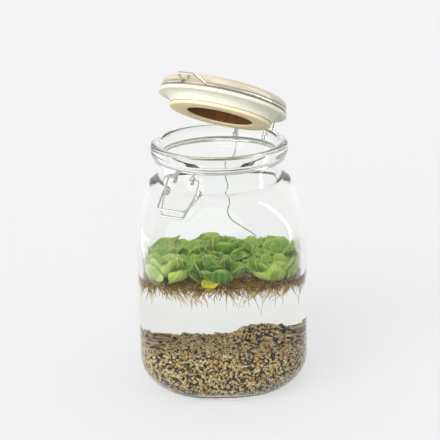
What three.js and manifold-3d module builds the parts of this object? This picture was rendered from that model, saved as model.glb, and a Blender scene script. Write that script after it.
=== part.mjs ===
// A clip-top glass storage jar used as a water-plant terrarium. The jar has a rounded-square body, a round
// neck and a beaded rim. It holds a sloping bed of gravel, water, nine floating rosettes with hanging roots,
// and a ceramic lid that hinges on a wire ring round the neck and is stored partly open.
// Units are millimetres. +Z is up, the origin is the centre of the jar's flat foot, and the front faces -Y.

import * as THREE from "three";
import { mergeVertices } from "three/addons/utils/BufferGeometryUtils.js";
import Module from "manifold-3d";

const wasm = await Module();
wasm.setup();

// ---------------------------------------------------------------- driving dimensions

const CLEARANCE = 0.45; // air between neighbouring pieces
const SEGMENTS = 40; // facets round the jar, shared by all that stands inside it

const BODY_HALF = 62.5; // half the width across the jar's faces
const BODY_SQUARENESS = 3.2; // superellipse exponent of the body's plan; 2 is a circle
const FOOT_SQUARENESS = 2;
const SQUARE_Z = 30; // the plan is round at the foot and fully square from here up
const HEEL = { out: 14, up: 24 }; // half-axes of the bottom corner outside
const WALL = 3.6;
const FLOOR_Z = 5; // top of the glass floor
const INNER_HEEL = { out: 13, up: 15 };
const SHOULDER_Z = 122; // where the walls start to close in
const SHOULDER_HEIGHT = 34;
const NECK_RADIUS = 45.6;
const BORE_RADIUS = 42;
const RIM_Z = 183.7;
const RIM_RADIUS = 50;

const WATER_Z = 90;
const GRAVEL_FRONT_Z = 39;
const GRAVEL_BACK_Z = 22;
const MOUND = { x: 24, y: 8, height: 14, spread: 15 };
const LUMP = { height: 1.2, spacing: 15 }; // low heaps in the bed's surface

const ROSETTE_SPACING = 37.5;
const ROW_HEIGHTS = [19, 18, 8.5]; // how far the leaves stand out of the water, front row to back row
const OUTER_LEAVES = 5;
const INNER_LEAVES = 2;
const LEAF_THICKNESS = 1.3; // measured upwards
const ROOT_LENGTH = 30;
const ROOT_STRANDS = 6;
const ROOT_POCKET_RADIUS = 15.6;

const LATCH_AZIMUTH = THREE.MathUtils.degToRad(30.5); // the latch is this far left of the front face
const WIRE = 1.1; // radius of the neck ring's wire
const NECK_WIRE_RADIUS = 47.35;
const NECK_WIRE_Z = 171.8;

const HINGE_OUT = 52; // hinge line's distance behind the jar's axis
const HINGE_Z = 174;
const HINGE_LOOPS = [-14.5, 12.3]; // places of the two hinge loops along the hinge line
const HINGE_EYE = { radius: 2.2, wire: 0.95 };
const LID_OPEN = THREE.MathUtils.degToRad(27.5);
const LID_CENTRE_OUT = 0.4; // the lid's play on its hinge when shut
const LID_CENTRE_SIDE = -3.2;
const LID_BOTTOM_Z = 175.5; // underside of the plug when shut
const LIP = { radius: 38, top: 177.8 }; // the plug's lip, below the seal's sleeve
const PLUG_RADIUS = 36.9;
const RECESS_RADIUS = 24.2;
const RECESS_DEPTH = 9;
const GASKET_BOTTOM_Z = 184.1;
const GASKET_TOP_Z = 187;
const GASKET_RADIUS = 47.8;
const SLEEVE = { radius: 38.3, bottom: 178.2 }; // the seal's sleeve round the plug
const LID_TOP_Z = 197.1;
const LID_WIRE_RADIUS = 46.3;
const LID_WIRE_Z = 189;
const LID_WIRE = 0.95;
const NOSE_OUT = 13; // the catch that the bail hooks over
const NOSE_UP = 3;

const EYELET = { reach: 50.2, z: 167.2, side: 7.15, radius: 2.4, wire: 0.9 };
const LEVER_SIDE = 13.05;
const LEVER_WIRE = 0.9;
const COIL = { reach: 51.6, z: 157.6, radius: 2.5, wire: 0.85 };
const LEVER_END = { reach: 67.6, z: 144.2, side: 8.8 };
const BAIL_END = { reach: 69.2, z: 149.6, side: 11 };
const BAIL_WIRE = 0.8;
const HANGING_WIRE = 0.55;

// ---------------------------------------------------------------- directions and small helpers

const UP = new THREE.Vector3(0, 0, 1);
const BACK = new THREE.Vector3(Math.sin(LATCH_AZIMUTH), Math.cos(LATCH_AZIMUTH), 0); // latch to hinge
const SIDE = new THREE.Vector3(Math.cos(LATCH_AZIMUTH), -Math.sin(LATCH_AZIMUTH), 0); // along the hinge line
const OPENING_AXIS = SIDE.clone().negate();

/** A point from its distance behind the axis, its place along the hinge line and its height. */
function hingePoint(back, side, z) {
  return new THREE.Vector3(0, 0, z).addScaledVector(BACK, back).addScaledVector(SIDE, side);
}

/** The same on the latch side, where the distance runs towards the front. */
const latchPoint = (out, side, z) => hingePoint(-out, side, z);

const smooth = (t) => THREE.MathUtils.smoothstep(t, 0, 1);

/** Repeatable random numbers between 0 and 1. */
function randomSource(seed) {
  let state = seed;
  return () => {
    state = (state * 1664525 + 1013904223) % 4294967296;
    return state / 4294967296;
  };
}

/** Welds a geometry's shared vertices, so that only positions and triangles are left. */
function welded(geometry) {
  const bare = geometry.clone();
  bare.deleteAttribute("normal");
  bare.deleteAttribute("uv");
  return mergeVertices(bare, 1e-4);
}

function toSolid(geometry) {
  const bare = welded(geometry);
  return new wasm.Manifold(
    new wasm.Mesh({
      numProp: 3,
      vertProperties: Float32Array.from(bare.attributes.position.array),
      triVerts: Uint32Array.from(bare.index.array),
    }),
  );
}

function toGeometry(solid) {
  const mesh = solid.getMesh();
  const geometry = new THREE.BufferGeometry();
  geometry.setAttribute("position", new THREE.BufferAttribute(Float32Array.from(mesh.vertProperties), 3));
  geometry.setIndex(new THREE.BufferAttribute(Uint32Array.from(mesh.triVerts), 1));
  return geometry;
}

const fuse = (geometries) => toGeometry(geometries.map(toSolid).reduce((sum, next) => sum.add(next)));

function cut(geometry, cutters) {
  return toGeometry(cutters.map(toSolid).reduce((rest, next) => rest.subtract(next), toSolid(geometry)));
}

/** Turns a profile of [radius, height] pairs, listed upwards on the outside, about the Z axis. */
function turned(profile, segments = SEGMENTS) {
  const points = profile.map(([radius, height]) => new THREE.Vector2(radius, height));
  return welded(new THREE.LatheGeometry(points, segments).rotateX(Math.PI / 2));
}

/** Moves every vertex of a geometry through a function of its position. */
function reshaped(geometry, move) {
  const positions = geometry.attributes.position;
  const point = new THREE.Vector3();
  for (let i = 0; i < positions.count; i += 1) {
    point.fromBufferAttribute(positions, i);
    move(point);
    positions.setXYZ(i, point.x, point.y, point.z);
  }
  return geometry;
}

/** Points of a quarter ellipse from one end of its span to the other. */
function arc(centreR, centreZ, radiusR, radiusZ, fromDegrees, toDegrees, steps) {
  return Array.from({ length: steps + 1 }, (_, i) => {
    const angle = THREE.MathUtils.degToRad(fromDegrees + ((toDegrees - fromDegrees) * i) / steps);
    return [centreR + radiusR * Math.cos(angle), centreZ + radiusZ * Math.sin(angle)];
  });
}

/** A wire's path: straight between its points, so that every bend keeps its own points. */
class WirePath extends THREE.Curve {
  constructor(points) {
    super();
    this.points = points;
  }

  getPointAt(u, target = new THREE.Vector3()) {
    const place = u * (this.points.length - 1);
    const index = Math.min(Math.floor(place + 1e-9), this.points.length - 2);
    return target.lerpVectors(this.points[index], this.points[index + 1], place - index);
  }

  getTangentAt(u, target = new THREE.Vector3()) {
    const index = Math.round(u * (this.points.length - 1));
    const before = this.points[Math.max(index - 1, 0)];
    const after = this.points[Math.min(index + 1, this.points.length - 1)];
    return target.subVectors(after, before).normalize();
  }
}

const GENTLE = THREE.MathUtils.degToRad(155); // wider corners than this keep their single point

/** Rounds the sharp corners of a bent wire. */
function bent(corners, bend, steps = 2) {
  const points = [corners[0]];
  for (let i = 1; i < corners.length - 1; i += 1) {
    const corner = corners[i];
    const before = corners[i - 1].clone().sub(corner);
    const after = corners[i + 1].clone().sub(corner);
    if (before.angleTo(after) > GENTLE) {
      points.push(corner);
      continue;
    }
    const reach = Math.min(bend, before.length() / 2.2, after.length() / 2.2);
    const start = corner.clone().addScaledVector(before.normalize(), reach);
    const end = corner.clone().addScaledVector(after.normalize(), reach);
    points.push(...new THREE.QuadraticBezierCurve3(start, corner, end).getPoints(steps));
  }
  return [...points, corners.at(-1)];
}

/** A round wire through the given points. */
function wire(points, radius, sides = 6) {
  const section = new THREE.Shape();
  for (let i = 0; i < sides; i += 1) {
    const angle = (2 * Math.PI * i) / sides;
    const place = [radius * Math.cos(angle), radius * Math.sin(angle)];
    if (i === 0) section.moveTo(...place);
    else section.lineTo(...place);
  }
  const extrudePath = new WirePath(points);
  return new THREE.ExtrudeGeometry(section, { steps: points.length - 1, extrudePath, bevelEnabled: false });
}

/** A wire loop round an axis that lies level, such as an eyelet or a coil. */
function loop(centre, axis, radius, wireRadius, sides = 5, turns = 9) {
  const turn = new THREE.Quaternion().setFromUnitVectors(UP, axis);
  return new THREE.TorusGeometry(radius, wireRadius, sides, turns).applyQuaternion(turn).translate(...centre);
}

// ---------------------------------------------------------------- the jar's plan and walls

/** How square the plan is at a height: round at the neck, nearly round at the foot. */
function squareness(z) {
  const rise = smooth(z / SQUARE_Z);
  const fall = 1 - smooth((z - SHOULDER_Z) / (SHOULDER_HEIGHT + 2));
  if (z < SHOULDER_Z) return FOOT_SQUARENESS + (BODY_SQUARENESS - FOOT_SQUARENESS) * rise;
  return 2 + (BODY_SQUARENESS - 2) * fall;
}

/** Turns a round ring of points into the rounded square of its height. */
function squared(point, exponent) {
  const radius = Math.hypot(point.x, point.y);
  if (radius < 1e-6) return;
  const c = Math.abs(point.x) / radius;
  const s = Math.abs(point.y) / radius;
  const stretch = 1 / Math.pow(Math.pow(c, exponent) + Math.pow(s, exponent), 1 / exponent);
  point.x *= stretch;
  point.y *= stretch;
}

function jarGlass() {
  const innerHalf = BODY_HALF - WALL;
  const { out: innerOut, up: innerUp } = INNER_HEEL;
  const outside = [
    [0, 0],
    ...arc(BODY_HALF - HEEL.out, HEEL.up, HEEL.out, HEEL.up, -90, 0, 4),
    [BODY_HALF, SQUARE_Z],
    ...arc(NECK_RADIUS, SHOULDER_Z, BODY_HALF - NECK_RADIUS, SHOULDER_HEIGHT, 0, 90, 5),
    [NECK_RADIUS, RIM_Z - 10.3],
  ];
  const rim = [
    [RIM_RADIUS - 1.2, RIM_Z - 9.6],
    [RIM_RADIUS, RIM_Z - 8],
    [RIM_RADIUS, RIM_Z - 2.6],
    [RIM_RADIUS - 1.2, RIM_Z - 0.6],
    [46.6, RIM_Z],
    [43.4, RIM_Z - 1.4],
    [BORE_RADIUS, RIM_Z - 4.6],
  ];
  const inside = [
    ...arc(BORE_RADIUS, SHOULDER_Z - 1, innerHalf - BORE_RADIUS, SHOULDER_HEIGHT - 1, 90, 0, 5),
    [innerHalf, SQUARE_Z],
    ...arc(innerHalf - innerOut, FLOOR_Z + innerUp, innerOut, innerUp, 0, -90, 3),
    [0, FLOOR_Z],
  ];
  const shell = turned([...outside, ...rim, ...inside]);
  return reshaped(shell, (point) => squared(point, squareness(point.z)));
}

// ---------------------------------------------------------------- gravel and water

/** Low heaps in the gravel, between -1 and 1, that wander a little off a square grid. */
function lumps(x, y) {
  const turn = (Math.PI * 2) / (LUMP.spacing * Math.SQRT2);
  return Math.sin(turn * (x + 3 * Math.sin(y / 11))) * Math.cos(turn * (y + 3 * Math.sin(x / 13)));
}

/** Height of the gravel's surface. */
function bedSurface(x, y) {
  const slope = (y + BODY_HALF - WALL) / (2 * (BODY_HALF - WALL));
  const level = GRAVEL_FRONT_Z + (GRAVEL_BACK_Z - GRAVEL_FRONT_Z) * slope;
  const away = ((x - MOUND.x) ** 2 + (y - MOUND.y) ** 2) / (2 * MOUND.spread ** 2);
  return level + MOUND.height * Math.exp(-away) + LUMP.height * lumps(x, y);
}

const BED_HALF = BODY_HALF - WALL - CLEARANCE - 0.15;
const BED_RINGS = [0, 0.14, 0.28, 0.42, 0.56, 0.7, 0.85, 1].map((share) => share * BED_HALF);
const SURFACE_MARK = 60; // stands for the bed's surface until the relief is made

/** The bed; a skirt carries it on past the glass, for cutting the water above it. */
function gravelBed(skirt = 0) {
  const rings = skirt > 0 ? [...BED_RINGS, BED_HALF + skirt] : BED_RINGS;
  const top = rings.toReversed().map((radius) => [radius, SURFACE_MARK]);
  const { out, up } = INNER_HEEL;
  const heel = arc(BED_HALF + skirt - out, FLOOR_Z + up + 0.3, out, up - CLEARANCE, -90, 0, 3);
  const profile = [[0, FLOOR_Z + CLEARANCE + 0.3], ...heel, ...top];
  return reshaped(turned(profile), (point) => {
    const onTop = point.z > SURFACE_MARK - 1;
    squared(point, squareness(onTop ? bedSurface(point.x, point.y) : point.z));
    if (onTop) point.z = bedSurface(point.x, point.y);
  });
}

function waterBody() {
  const half = BED_HALF - 0.15;
  const bottom = GRAVEL_BACK_Z - 0.9;
  const filled = turned([
    [0, bottom],
    [half, bottom],
    [half, (bottom + SQUARE_Z) / 2],
    [half, SQUARE_Z],
    [half, WATER_Z],
    [0, WATER_Z],
  ]);
  reshaped(filled, (point) => squared(point, squareness(point.z)));
  const pockets = rosettePlaces().map(({ x, y }) => {
    const depth = ROOT_LENGTH + 3;
    const pocket = new THREE.CylinderGeometry(ROOT_POCKET_RADIUS, ROOT_POCKET_RADIUS, depth + 4, 12);
    return pocket.rotateX(Math.PI / 2).translate(x, y, WATER_Z + 2 - depth / 2);
  });
  return cut(filled, [gravelBed(3).translate(0, 0, CLEARANCE), ...pockets]);
}

// ---------------------------------------------------------------- floating rosettes

/** Centres of the nine rosettes, three in each row from front to back. */
function rosettePlaces() {
  const random = randomSource(7);
  const places = [];
  for (let row = 0; row < 3; row += 1) {
    for (let column = 0; column < 3; column += 1) {
      const x = (column - 1) * ROSETTE_SPACING + 3 * (random() - 0.5);
      const y = (row - 1) * ROSETTE_SPACING + 3 * (random() - 0.5);
      places.push({ x, y, height: ROW_HEIGHTS[row] * (0.9 + 0.1 * random()), spin: random() * Math.PI });
    }
  }
  return places;
}

/** Whether a point of a leaf stays on its own rosette's side of its neighbours and inside the glass. */
function hasRoom(x, y, home, places) {
  const wall = (Math.abs(x) ** BODY_SQUARENESS + Math.abs(y) ** BODY_SQUARENESS) ** (1 / BODY_SQUARENESS);
  if (wall > BODY_HALF - WALL - 1.2) return false;
  return places.every((other) => {
    if (other === home) return true;
    const dx = other.x - home.x;
    const dy = other.y - home.y;
    const apart = Math.hypot(dx, dy);
    return ((x - home.x) * dx + (y - home.y) * dy) / apart < apart / 2 - 0.4;
  });
}

/** Half-width of a spoon-shaped blade, and how far along it lies, for each cross row of the blade. */
const LEAF_ROWS = [
  { along: [0, 0], half: 0.2 },
  { along: [0.62, 0.55], half: 1 },
  { along: [1, 0.92], half: 0.68 }, // middle and edge: a rounded tip
];

/**
 * One ribbed blade, thick all over. It starts near the rosette's heart, widens, rises and cups. The top and
 * bottom are split alike, so that they never cross.
 */
function leaf(home, places, { angle, reach, height, width, cup }) {
  const across = [-1, 0, 1];
  const surface = (scale) =>
    LEAF_ROWS.map((row) =>
      across.map((v, i) => {
        const along = row.along[Math.abs(i - 1)] * scale;
        const out = 1.5 + along * reach;
        const sideways = v * row.half * width * (0.4 + 0.6 * scale);
        const x = home.x + out * Math.cos(angle) - sideways * Math.sin(angle);
        const y = home.y + out * Math.sin(angle) + sideways * Math.cos(angle);
        const rise = height * (1 - (1 - along) ** 1.7) + cup * v * v * row.half;
        return new THREE.Vector3(x, y, WATER_Z + 2.2 + Math.max(rise, -0.6));
      }),
    );
  let scale = 1;
  while (scale > 0.4 && !surface(scale).flat().every((p) => hasRoom(p.x, p.y, home, places))) scale -= 0.03;
  const rows = surface(scale);
  const positions = [];
  for (const lift of [LEAF_THICKNESS / 2, -LEAF_THICKNESS / 2]) {
    for (const p of rows.flat()) positions.push(p.x, p.y, p.z + lift);
  }
  const columns = across.length;
  const under = rows.length * columns;
  const triangles = [];
  for (let r = 0; r < rows.length - 1; r += 1) {
    for (let c = 0; c < columns - 1; c += 1) {
      const [a, b] = [r * columns + c, r * columns + c + 1];
      const [d, e] = [a + columns, b + columns];
      triangles.push(a, d, b, b, d, e);
      triangles.push(under + a, under + b, under + d, under + b, under + e, under + d);
    }
  }
  const edge = [];
  for (let c = 0; c < columns - 1; c += 1) edge.push(c);
  for (let r = 0; r < rows.length - 1; r += 1) edge.push(r * columns + columns - 1);
  for (let c = columns - 1; c > 0; c -= 1) edge.push((rows.length - 1) * columns + c);
  for (let r = rows.length - 1; r > 0; r -= 1) edge.push(r * columns);
  edge.forEach((from, i) => {
    const to = edge[(i + 1) % edge.length];
    triangles.push(from, to, under + from, to, under + to, under + from);
  });
  const geometry = new THREE.BufferGeometry();
  geometry.setAttribute("position", new THREE.BufferAttribute(Float32Array.from(positions), 3));
  geometry.setIndex(triangles);
  return geometry;
}

function rosetteLeaves(home, places, index) {
  const random = randomSource(101 + index);
  const heart = new THREE.SphereGeometry(3.6, 6, 4).rotateX(Math.PI / 2).scale(1, 1, 0.75);
  const blades = [heart.translate(home.x, home.y, WATER_Z + 3.3)];
  for (let i = 0; i < OUTER_LEAVES; i += 1) {
    blades.push(
      leaf(home, places, {
        angle: home.spin + (2 * Math.PI * (i + 0.3 * (random() - 0.5))) / OUTER_LEAVES,
        reach: 20 + 4 * random(),
        height: home.height * (0.42 + 0.3 * random()),
        width: 9.5 + 1.5 * random(),
        cup: 1.8,
      }),
    );
  }
  for (let i = 0; i < INNER_LEAVES; i += 1) {
    blades.push(
      leaf(home, places, {
        angle: home.spin + 0.5 + (2 * Math.PI * (i + 0.3 * random())) / INNER_LEAVES,
        reach: 8.5 + 2 * random(),
        height: home.height * (0.72 + 0.1 * random()) - 1,
        width: 6.5 + random(),
        cup: 1.6,
      }),
    );
  }
  return fuse(blades);
}

function rosetteRoots(home, index) {
  const random = randomSource(501 + index);
  const crown = new THREE.CylinderGeometry(4.6, 3.2, 4, 6).rotateX(Math.PI / 2);
  const strands = [crown.translate(home.x, home.y, WATER_Z - 2.1)];
  for (let i = 0; i < ROOT_STRANDS; i += 1) {
    const angle = home.spin + (2 * Math.PI * (i + 0.5 * random())) / ROOT_STRANDS;
    const spread = 4 + 8 * random();
    const length = ROOT_LENGTH * (0.6 + 0.4 * random());
    const points = [0, 0.45, 1].map((t) => {
      const out = 2 + spread * Math.sqrt(t);
      const sway = 1.2 * Math.sin(4 * t + i);
      const x = home.x + out * Math.cos(angle) - sway * Math.sin(angle);
      const y = home.y + out * Math.sin(angle) + sway * Math.cos(angle);
      return new THREE.Vector3(x, y, WATER_Z - 2.5 - t * (length - 3));
    });
    strands.push(wire(points, 0.9, 3));
  }
  return fuse(strands);
}

// ---------------------------------------------------------------- wires on the neck

/** A thin wire that hangs from the left hinge loop and runs down behind the jar. */
function hangingTail() {
  const route = [
    hingePoint(HINGE_OUT, HINGE_LOOPS[0], HINGE_Z - 2.2),
    new THREE.Vector3(11.6, 54.4, 158),
    new THREE.Vector3(4.6, 57.6, 150),
    new THREE.Vector3(6.2, 64, 132),
    new THREE.Vector3(4.2, 64.8, 125),
    new THREE.Vector3(6.6, 65, 117.5),
    new THREE.Vector3(5.2, 65.2, 111),
    new THREE.Vector3(8, 65.1, 104),
    new THREE.Vector3(16.5, 64.9, 97.5),
    new THREE.Vector3(27, 64.4, 90.5),
    new THREE.Vector3(33, 63.8, 84),
  ];
  return wire(new THREE.CatmullRomCurve3(route).getPoints(20), HANGING_WIRE, 5);
}

function neckWire() {
  const ring = new THREE.TorusGeometry(NECK_WIRE_RADIUS, WIRE, 6, SEGMENTS).translate(0, 0, NECK_WIRE_Z);
  const parts = [ring, hangingTail()];
  const ringBack = (side) => Math.sqrt(NECK_WIRE_RADIUS ** 2 - side ** 2);
  for (const side of [-EYELET.side, EYELET.side]) {
    const top = latchPoint(EYELET.reach, side, EYELET.z + EYELET.radius);
    parts.push(loop(latchPoint(EYELET.reach, side, EYELET.z), SIDE, EYELET.radius, EYELET.wire));
    parts.push(wire([latchPoint(ringBack(side), side, NECK_WIRE_Z), top], EYELET.wire));
  }
  for (const side of HINGE_LOOPS) {
    const near = hingePoint(HINGE_OUT - HINGE_EYE.radius, side, HINGE_Z - 0.6);
    parts.push(loop(hingePoint(HINGE_OUT, side, HINGE_Z), SIDE, HINGE_EYE.radius, HINGE_EYE.wire));
    parts.push(wire([hingePoint(ringBack(side), side, NECK_WIRE_Z), near], HINGE_EYE.wire));
  }
  const [left, right] = HINGE_LOOPS;
  const archFoot = (side) => hingePoint(HINGE_OUT + 0.6, side, HINGE_Z + 2.2);
  const arch = [
    archFoot(left),
    hingePoint(HINGE_OUT + 1.4, left + 4.5, HINGE_Z + 4.6),
    hingePoint(HINGE_OUT + 2, (left + right) / 2, HINGE_Z + 6),
    hingePoint(HINGE_OUT + 1.4, right - 4.5, HINGE_Z + 4.6),
    archFoot(right),
  ];
  parts.push(wire(new THREE.CatmullRomCurve3(arch).getPoints(8), 0.9));
  return fuse(parts);
}

function latchLever() {
  const half = (side) => [
    latchPoint(EYELET.reach, side * 4.6, EYELET.z),
    latchPoint(EYELET.reach, side * LEVER_SIDE, EYELET.z),
    latchPoint(COIL.reach + 3.1, side * LEVER_SIDE, COIL.z + 1.7),
    latchPoint(LEVER_END.reach, side * LEVER_END.side, LEVER_END.z),
  ];
  const path = bent([...half(-1), ...half(1).reverse()], 2.4);
  const coils = [-1, 1].map((side) => {
    const centre = latchPoint(COIL.reach, side * LEVER_SIDE, COIL.z);
    return loop(centre, SIDE, COIL.radius, COIL.wire);
  });
  return fuse([wire(path, LEVER_WIRE), ...coils]);
}

function latchBail() {
  const half = (side) => [
    latchPoint(COIL.reach, side * (LEVER_SIDE - 1.4), COIL.z),
    latchPoint(COIL.reach, side * (LEVER_SIDE + 3.1), COIL.z),
    latchPoint(BAIL_END.reach, side * BAIL_END.side, BAIL_END.z),
  ];
  return wire(bent([...half(-1), ...half(1).reverse()], 2.6), BAIL_WIRE);
}

// ---------------------------------------------------------------- the lid, modelled shut and then opened

function lidCentred(geometry) {
  const centre = hingePoint(LID_CENTRE_OUT, LID_CENTRE_SIDE, 0);
  return geometry.translate(...centre);
}

function lidCeramic() {
  const bottom = LID_BOTTOM_Z;
  const flange = GASKET_TOP_Z + 0.35;
  const profile = [
    [0, bottom + RECESS_DEPTH],
    [RECESS_RADIUS - 1.6, bottom + RECESS_DEPTH],
    [RECESS_RADIUS, bottom + RECESS_DEPTH - 1.6],
    [RECESS_RADIUS + 0.6, bottom],
    [LIP.radius - 0.9, bottom],
    [LIP.radius, bottom + 0.9],
    [LIP.radius, LIP.top],
    [PLUG_RADIUS, LIP.top + 0.2],
    [PLUG_RADIUS, flange],
    [46.6, flange],
    [47, LID_WIRE_Z - 1.5],
    [44.8, LID_WIRE_Z - 0.6],
    [44.8, LID_WIRE_Z + 0.8],
    [46.6, LID_WIRE_Z + 1.7],
    [46.6, LID_WIRE_Z + 3.2],
    [44.4, LID_TOP_Z - 1.6],
    [40, LID_TOP_Z - 0.5],
    [0, LID_TOP_Z],
  ];
  const notch = new THREE.BoxGeometry(19.5, 10, 12).rotateZ(-LATCH_AZIMUTH);
  notch.translate(...latchPoint(46.4, 0, LID_WIRE_Z + 7.6));
  return lidCentred(cut(turned(profile), [notch]));
}

/** The seal: a flat ring that lies on the rim, with a thin sleeve round the plug. */
function lidGasket() {
  const inner = PLUG_RADIUS + CLEARANCE;
  return lidCentred(
    turned([
      [inner, SLEEVE.bottom],
      [SLEEVE.radius, SLEEVE.bottom],
      [SLEEVE.radius, GASKET_BOTTOM_Z],
      [GASKET_RADIUS - 0.9, GASKET_BOTTOM_Z],
      [GASKET_RADIUS, GASKET_BOTTOM_Z + 0.9],
      [GASKET_RADIUS, GASKET_TOP_Z - 0.7],
      [GASKET_RADIUS - 0.6, GASKET_TOP_Z],
      [inner, GASKET_TOP_Z],
      [inner, SLEEVE.bottom],
    ]),
  );
}

/** One wire: hinge pin, arm, half the lid's groove, the catch, the other half, arm and pin. */
function lidWire() {
  const centre = hingePoint(LID_CENTRE_OUT, LID_CENTRE_SIDE, 0);
  const [left, right] = HINGE_LOOPS;
  const noseHalf = Math.asin(9.7 / LID_WIRE_RADIUS);
  const onRing = (angle) =>
    hingePoint(LID_WIRE_RADIUS * Math.cos(angle), LID_WIRE_RADIUS * Math.sin(angle), LID_WIRE_Z).add(centre);
  const armAngle = (side) => Math.asin((side - LID_CENTRE_SIDE) / LID_WIRE_RADIUS);
  const half = (side, turn) => {
    const start = armAngle(side);
    const end = turn * (Math.PI - noseHalf);
    const steps = 15;
    const ring = Array.from({ length: steps + 1 }, (_, i) => onRing(start + ((end - start) * i) / steps));
    return [
      hingePoint(HINGE_OUT, side - turn * 2.3, HINGE_Z),
      hingePoint(HINGE_OUT, side + turn * 2.6, HINGE_Z),
      hingePoint(HINGE_OUT, side + turn * 2.6, LID_WIRE_Z - 1.5),
      hingePoint(HINGE_OUT - 2.6, side + turn * 1.6, LID_WIRE_Z),
      ...ring.slice(1),
    ];
  };
  const nose = (turn) => latchPoint(LID_WIRE_RADIUS + NOSE_OUT, turn * 6.6, LID_WIRE_Z + NOSE_UP).add(centre);
  const path = [...half(left, -1), nose(-1), nose(1), ...half(right, 1).reverse()];
  return wire(bent(path, 2), LID_WIRE);
}

// ---------------------------------------------------------------- assembly

const terrarium = new THREE.Group();
const lid = new THREE.Group();
const hinge = hingePoint(HINGE_OUT, 0, HINGE_Z);
lid.quaternion.setFromAxisAngle(OPENING_AXIS, LID_OPEN);
lid.position.copy(hinge).sub(hinge.clone().applyQuaternion(lid.quaternion));
terrarium.add(lid);

const FINISHES = {
  glass: { color: 0xe6eeea, roughness: 0.03, metalness: 0, transparent: true, opacity: 0.3 },
  water: { color: 0xdfeceb, roughness: 0.02, metalness: 0, transparent: true, opacity: 0.35 },
  gravel: { color: 0xb7a273, roughness: 0.95, metalness: 0 },
  leaf: { color: 0x7fa23c, roughness: 0.6, metalness: 0 },
  root: { color: 0x8a6a2e, roughness: 0.8, metalness: 0 },
  steel: { color: 0xb9bbb8, roughness: 0.25, metalness: 1 },
  ceramic: { color: 0xe9dcc2, roughness: 0.3, metalness: 0 },
  rubber: { color: 0xedebdd, roughness: 0.6, metalness: 0 },
};

function place(name, geometry, finish, group = terrarium) {
  const mesh = new THREE.Mesh(geometry, new THREE.MeshStandardMaterial(FINISHES[finish]));
  mesh.name = name;
  group.add(mesh);
}

place("jar_glass", jarGlass(), "glass");
place("gravel_bed", gravelBed(), "gravel");
place("water", waterBody(), "water");
const places = rosettePlaces();
places.forEach((home, index) => {
  place(`rosette_${index + 1}_leaves`, rosetteLeaves(home, places, index), "leaf");
  place(`rosette_${index + 1}_roots`, rosetteRoots(home, index), "root");
});
place("neck_wire", neckWire(), "steel");
place("latch_lever", latchLever(), "steel");
place("latch_bail", latchBail(), "steel");
place("lid_ceramic", lidCeramic(), "ceramic", lid);
place("lid_gasket", lidGasket(), "rubber", lid);
place("lid_wire", lidWire(), "steel", lid);

export default terrarium;
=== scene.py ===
"""A clip-top glass jar planted as a small water terrarium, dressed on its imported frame.

Every sub-assembly is a class with its sizes in millimetres as fields and methods that build and dress its
pieces. The jar stands on its foot at the origin, +Z is up and its front faces -Y.
"""

import logging
import math
import random
from collections.abc import Callable, Iterable, Sequence
from dataclasses import dataclass, field
from enum import Enum

import bpy
import numpy as np
from mathutils import Matrix, Vector

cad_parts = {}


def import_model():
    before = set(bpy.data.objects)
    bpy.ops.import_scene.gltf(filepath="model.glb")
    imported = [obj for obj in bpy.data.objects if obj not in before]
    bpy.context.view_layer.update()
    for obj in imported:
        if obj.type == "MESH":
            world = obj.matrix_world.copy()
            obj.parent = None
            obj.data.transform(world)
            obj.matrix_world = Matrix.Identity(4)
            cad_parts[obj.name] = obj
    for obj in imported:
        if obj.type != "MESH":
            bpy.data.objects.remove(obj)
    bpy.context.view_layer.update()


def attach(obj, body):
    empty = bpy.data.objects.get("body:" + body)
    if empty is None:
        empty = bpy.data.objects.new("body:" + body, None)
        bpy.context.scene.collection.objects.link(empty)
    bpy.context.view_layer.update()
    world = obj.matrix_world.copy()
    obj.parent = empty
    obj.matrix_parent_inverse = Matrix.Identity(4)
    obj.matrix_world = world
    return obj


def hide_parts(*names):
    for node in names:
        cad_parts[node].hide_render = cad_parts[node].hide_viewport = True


LOG = logging.getLogger("terrarium")
MM = 0.001
ON_AXIS = 1e-7  # metres; a point nearer the axis than this has no direction from it
ROUND = 2.0  # superellipse exponent of a circle
Pair = tuple[float, float]
Point = tuple[float, float, float]
Colour = tuple[float, float, float, float]

# -------------------------------------------------------------------------------- shared shape


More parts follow.
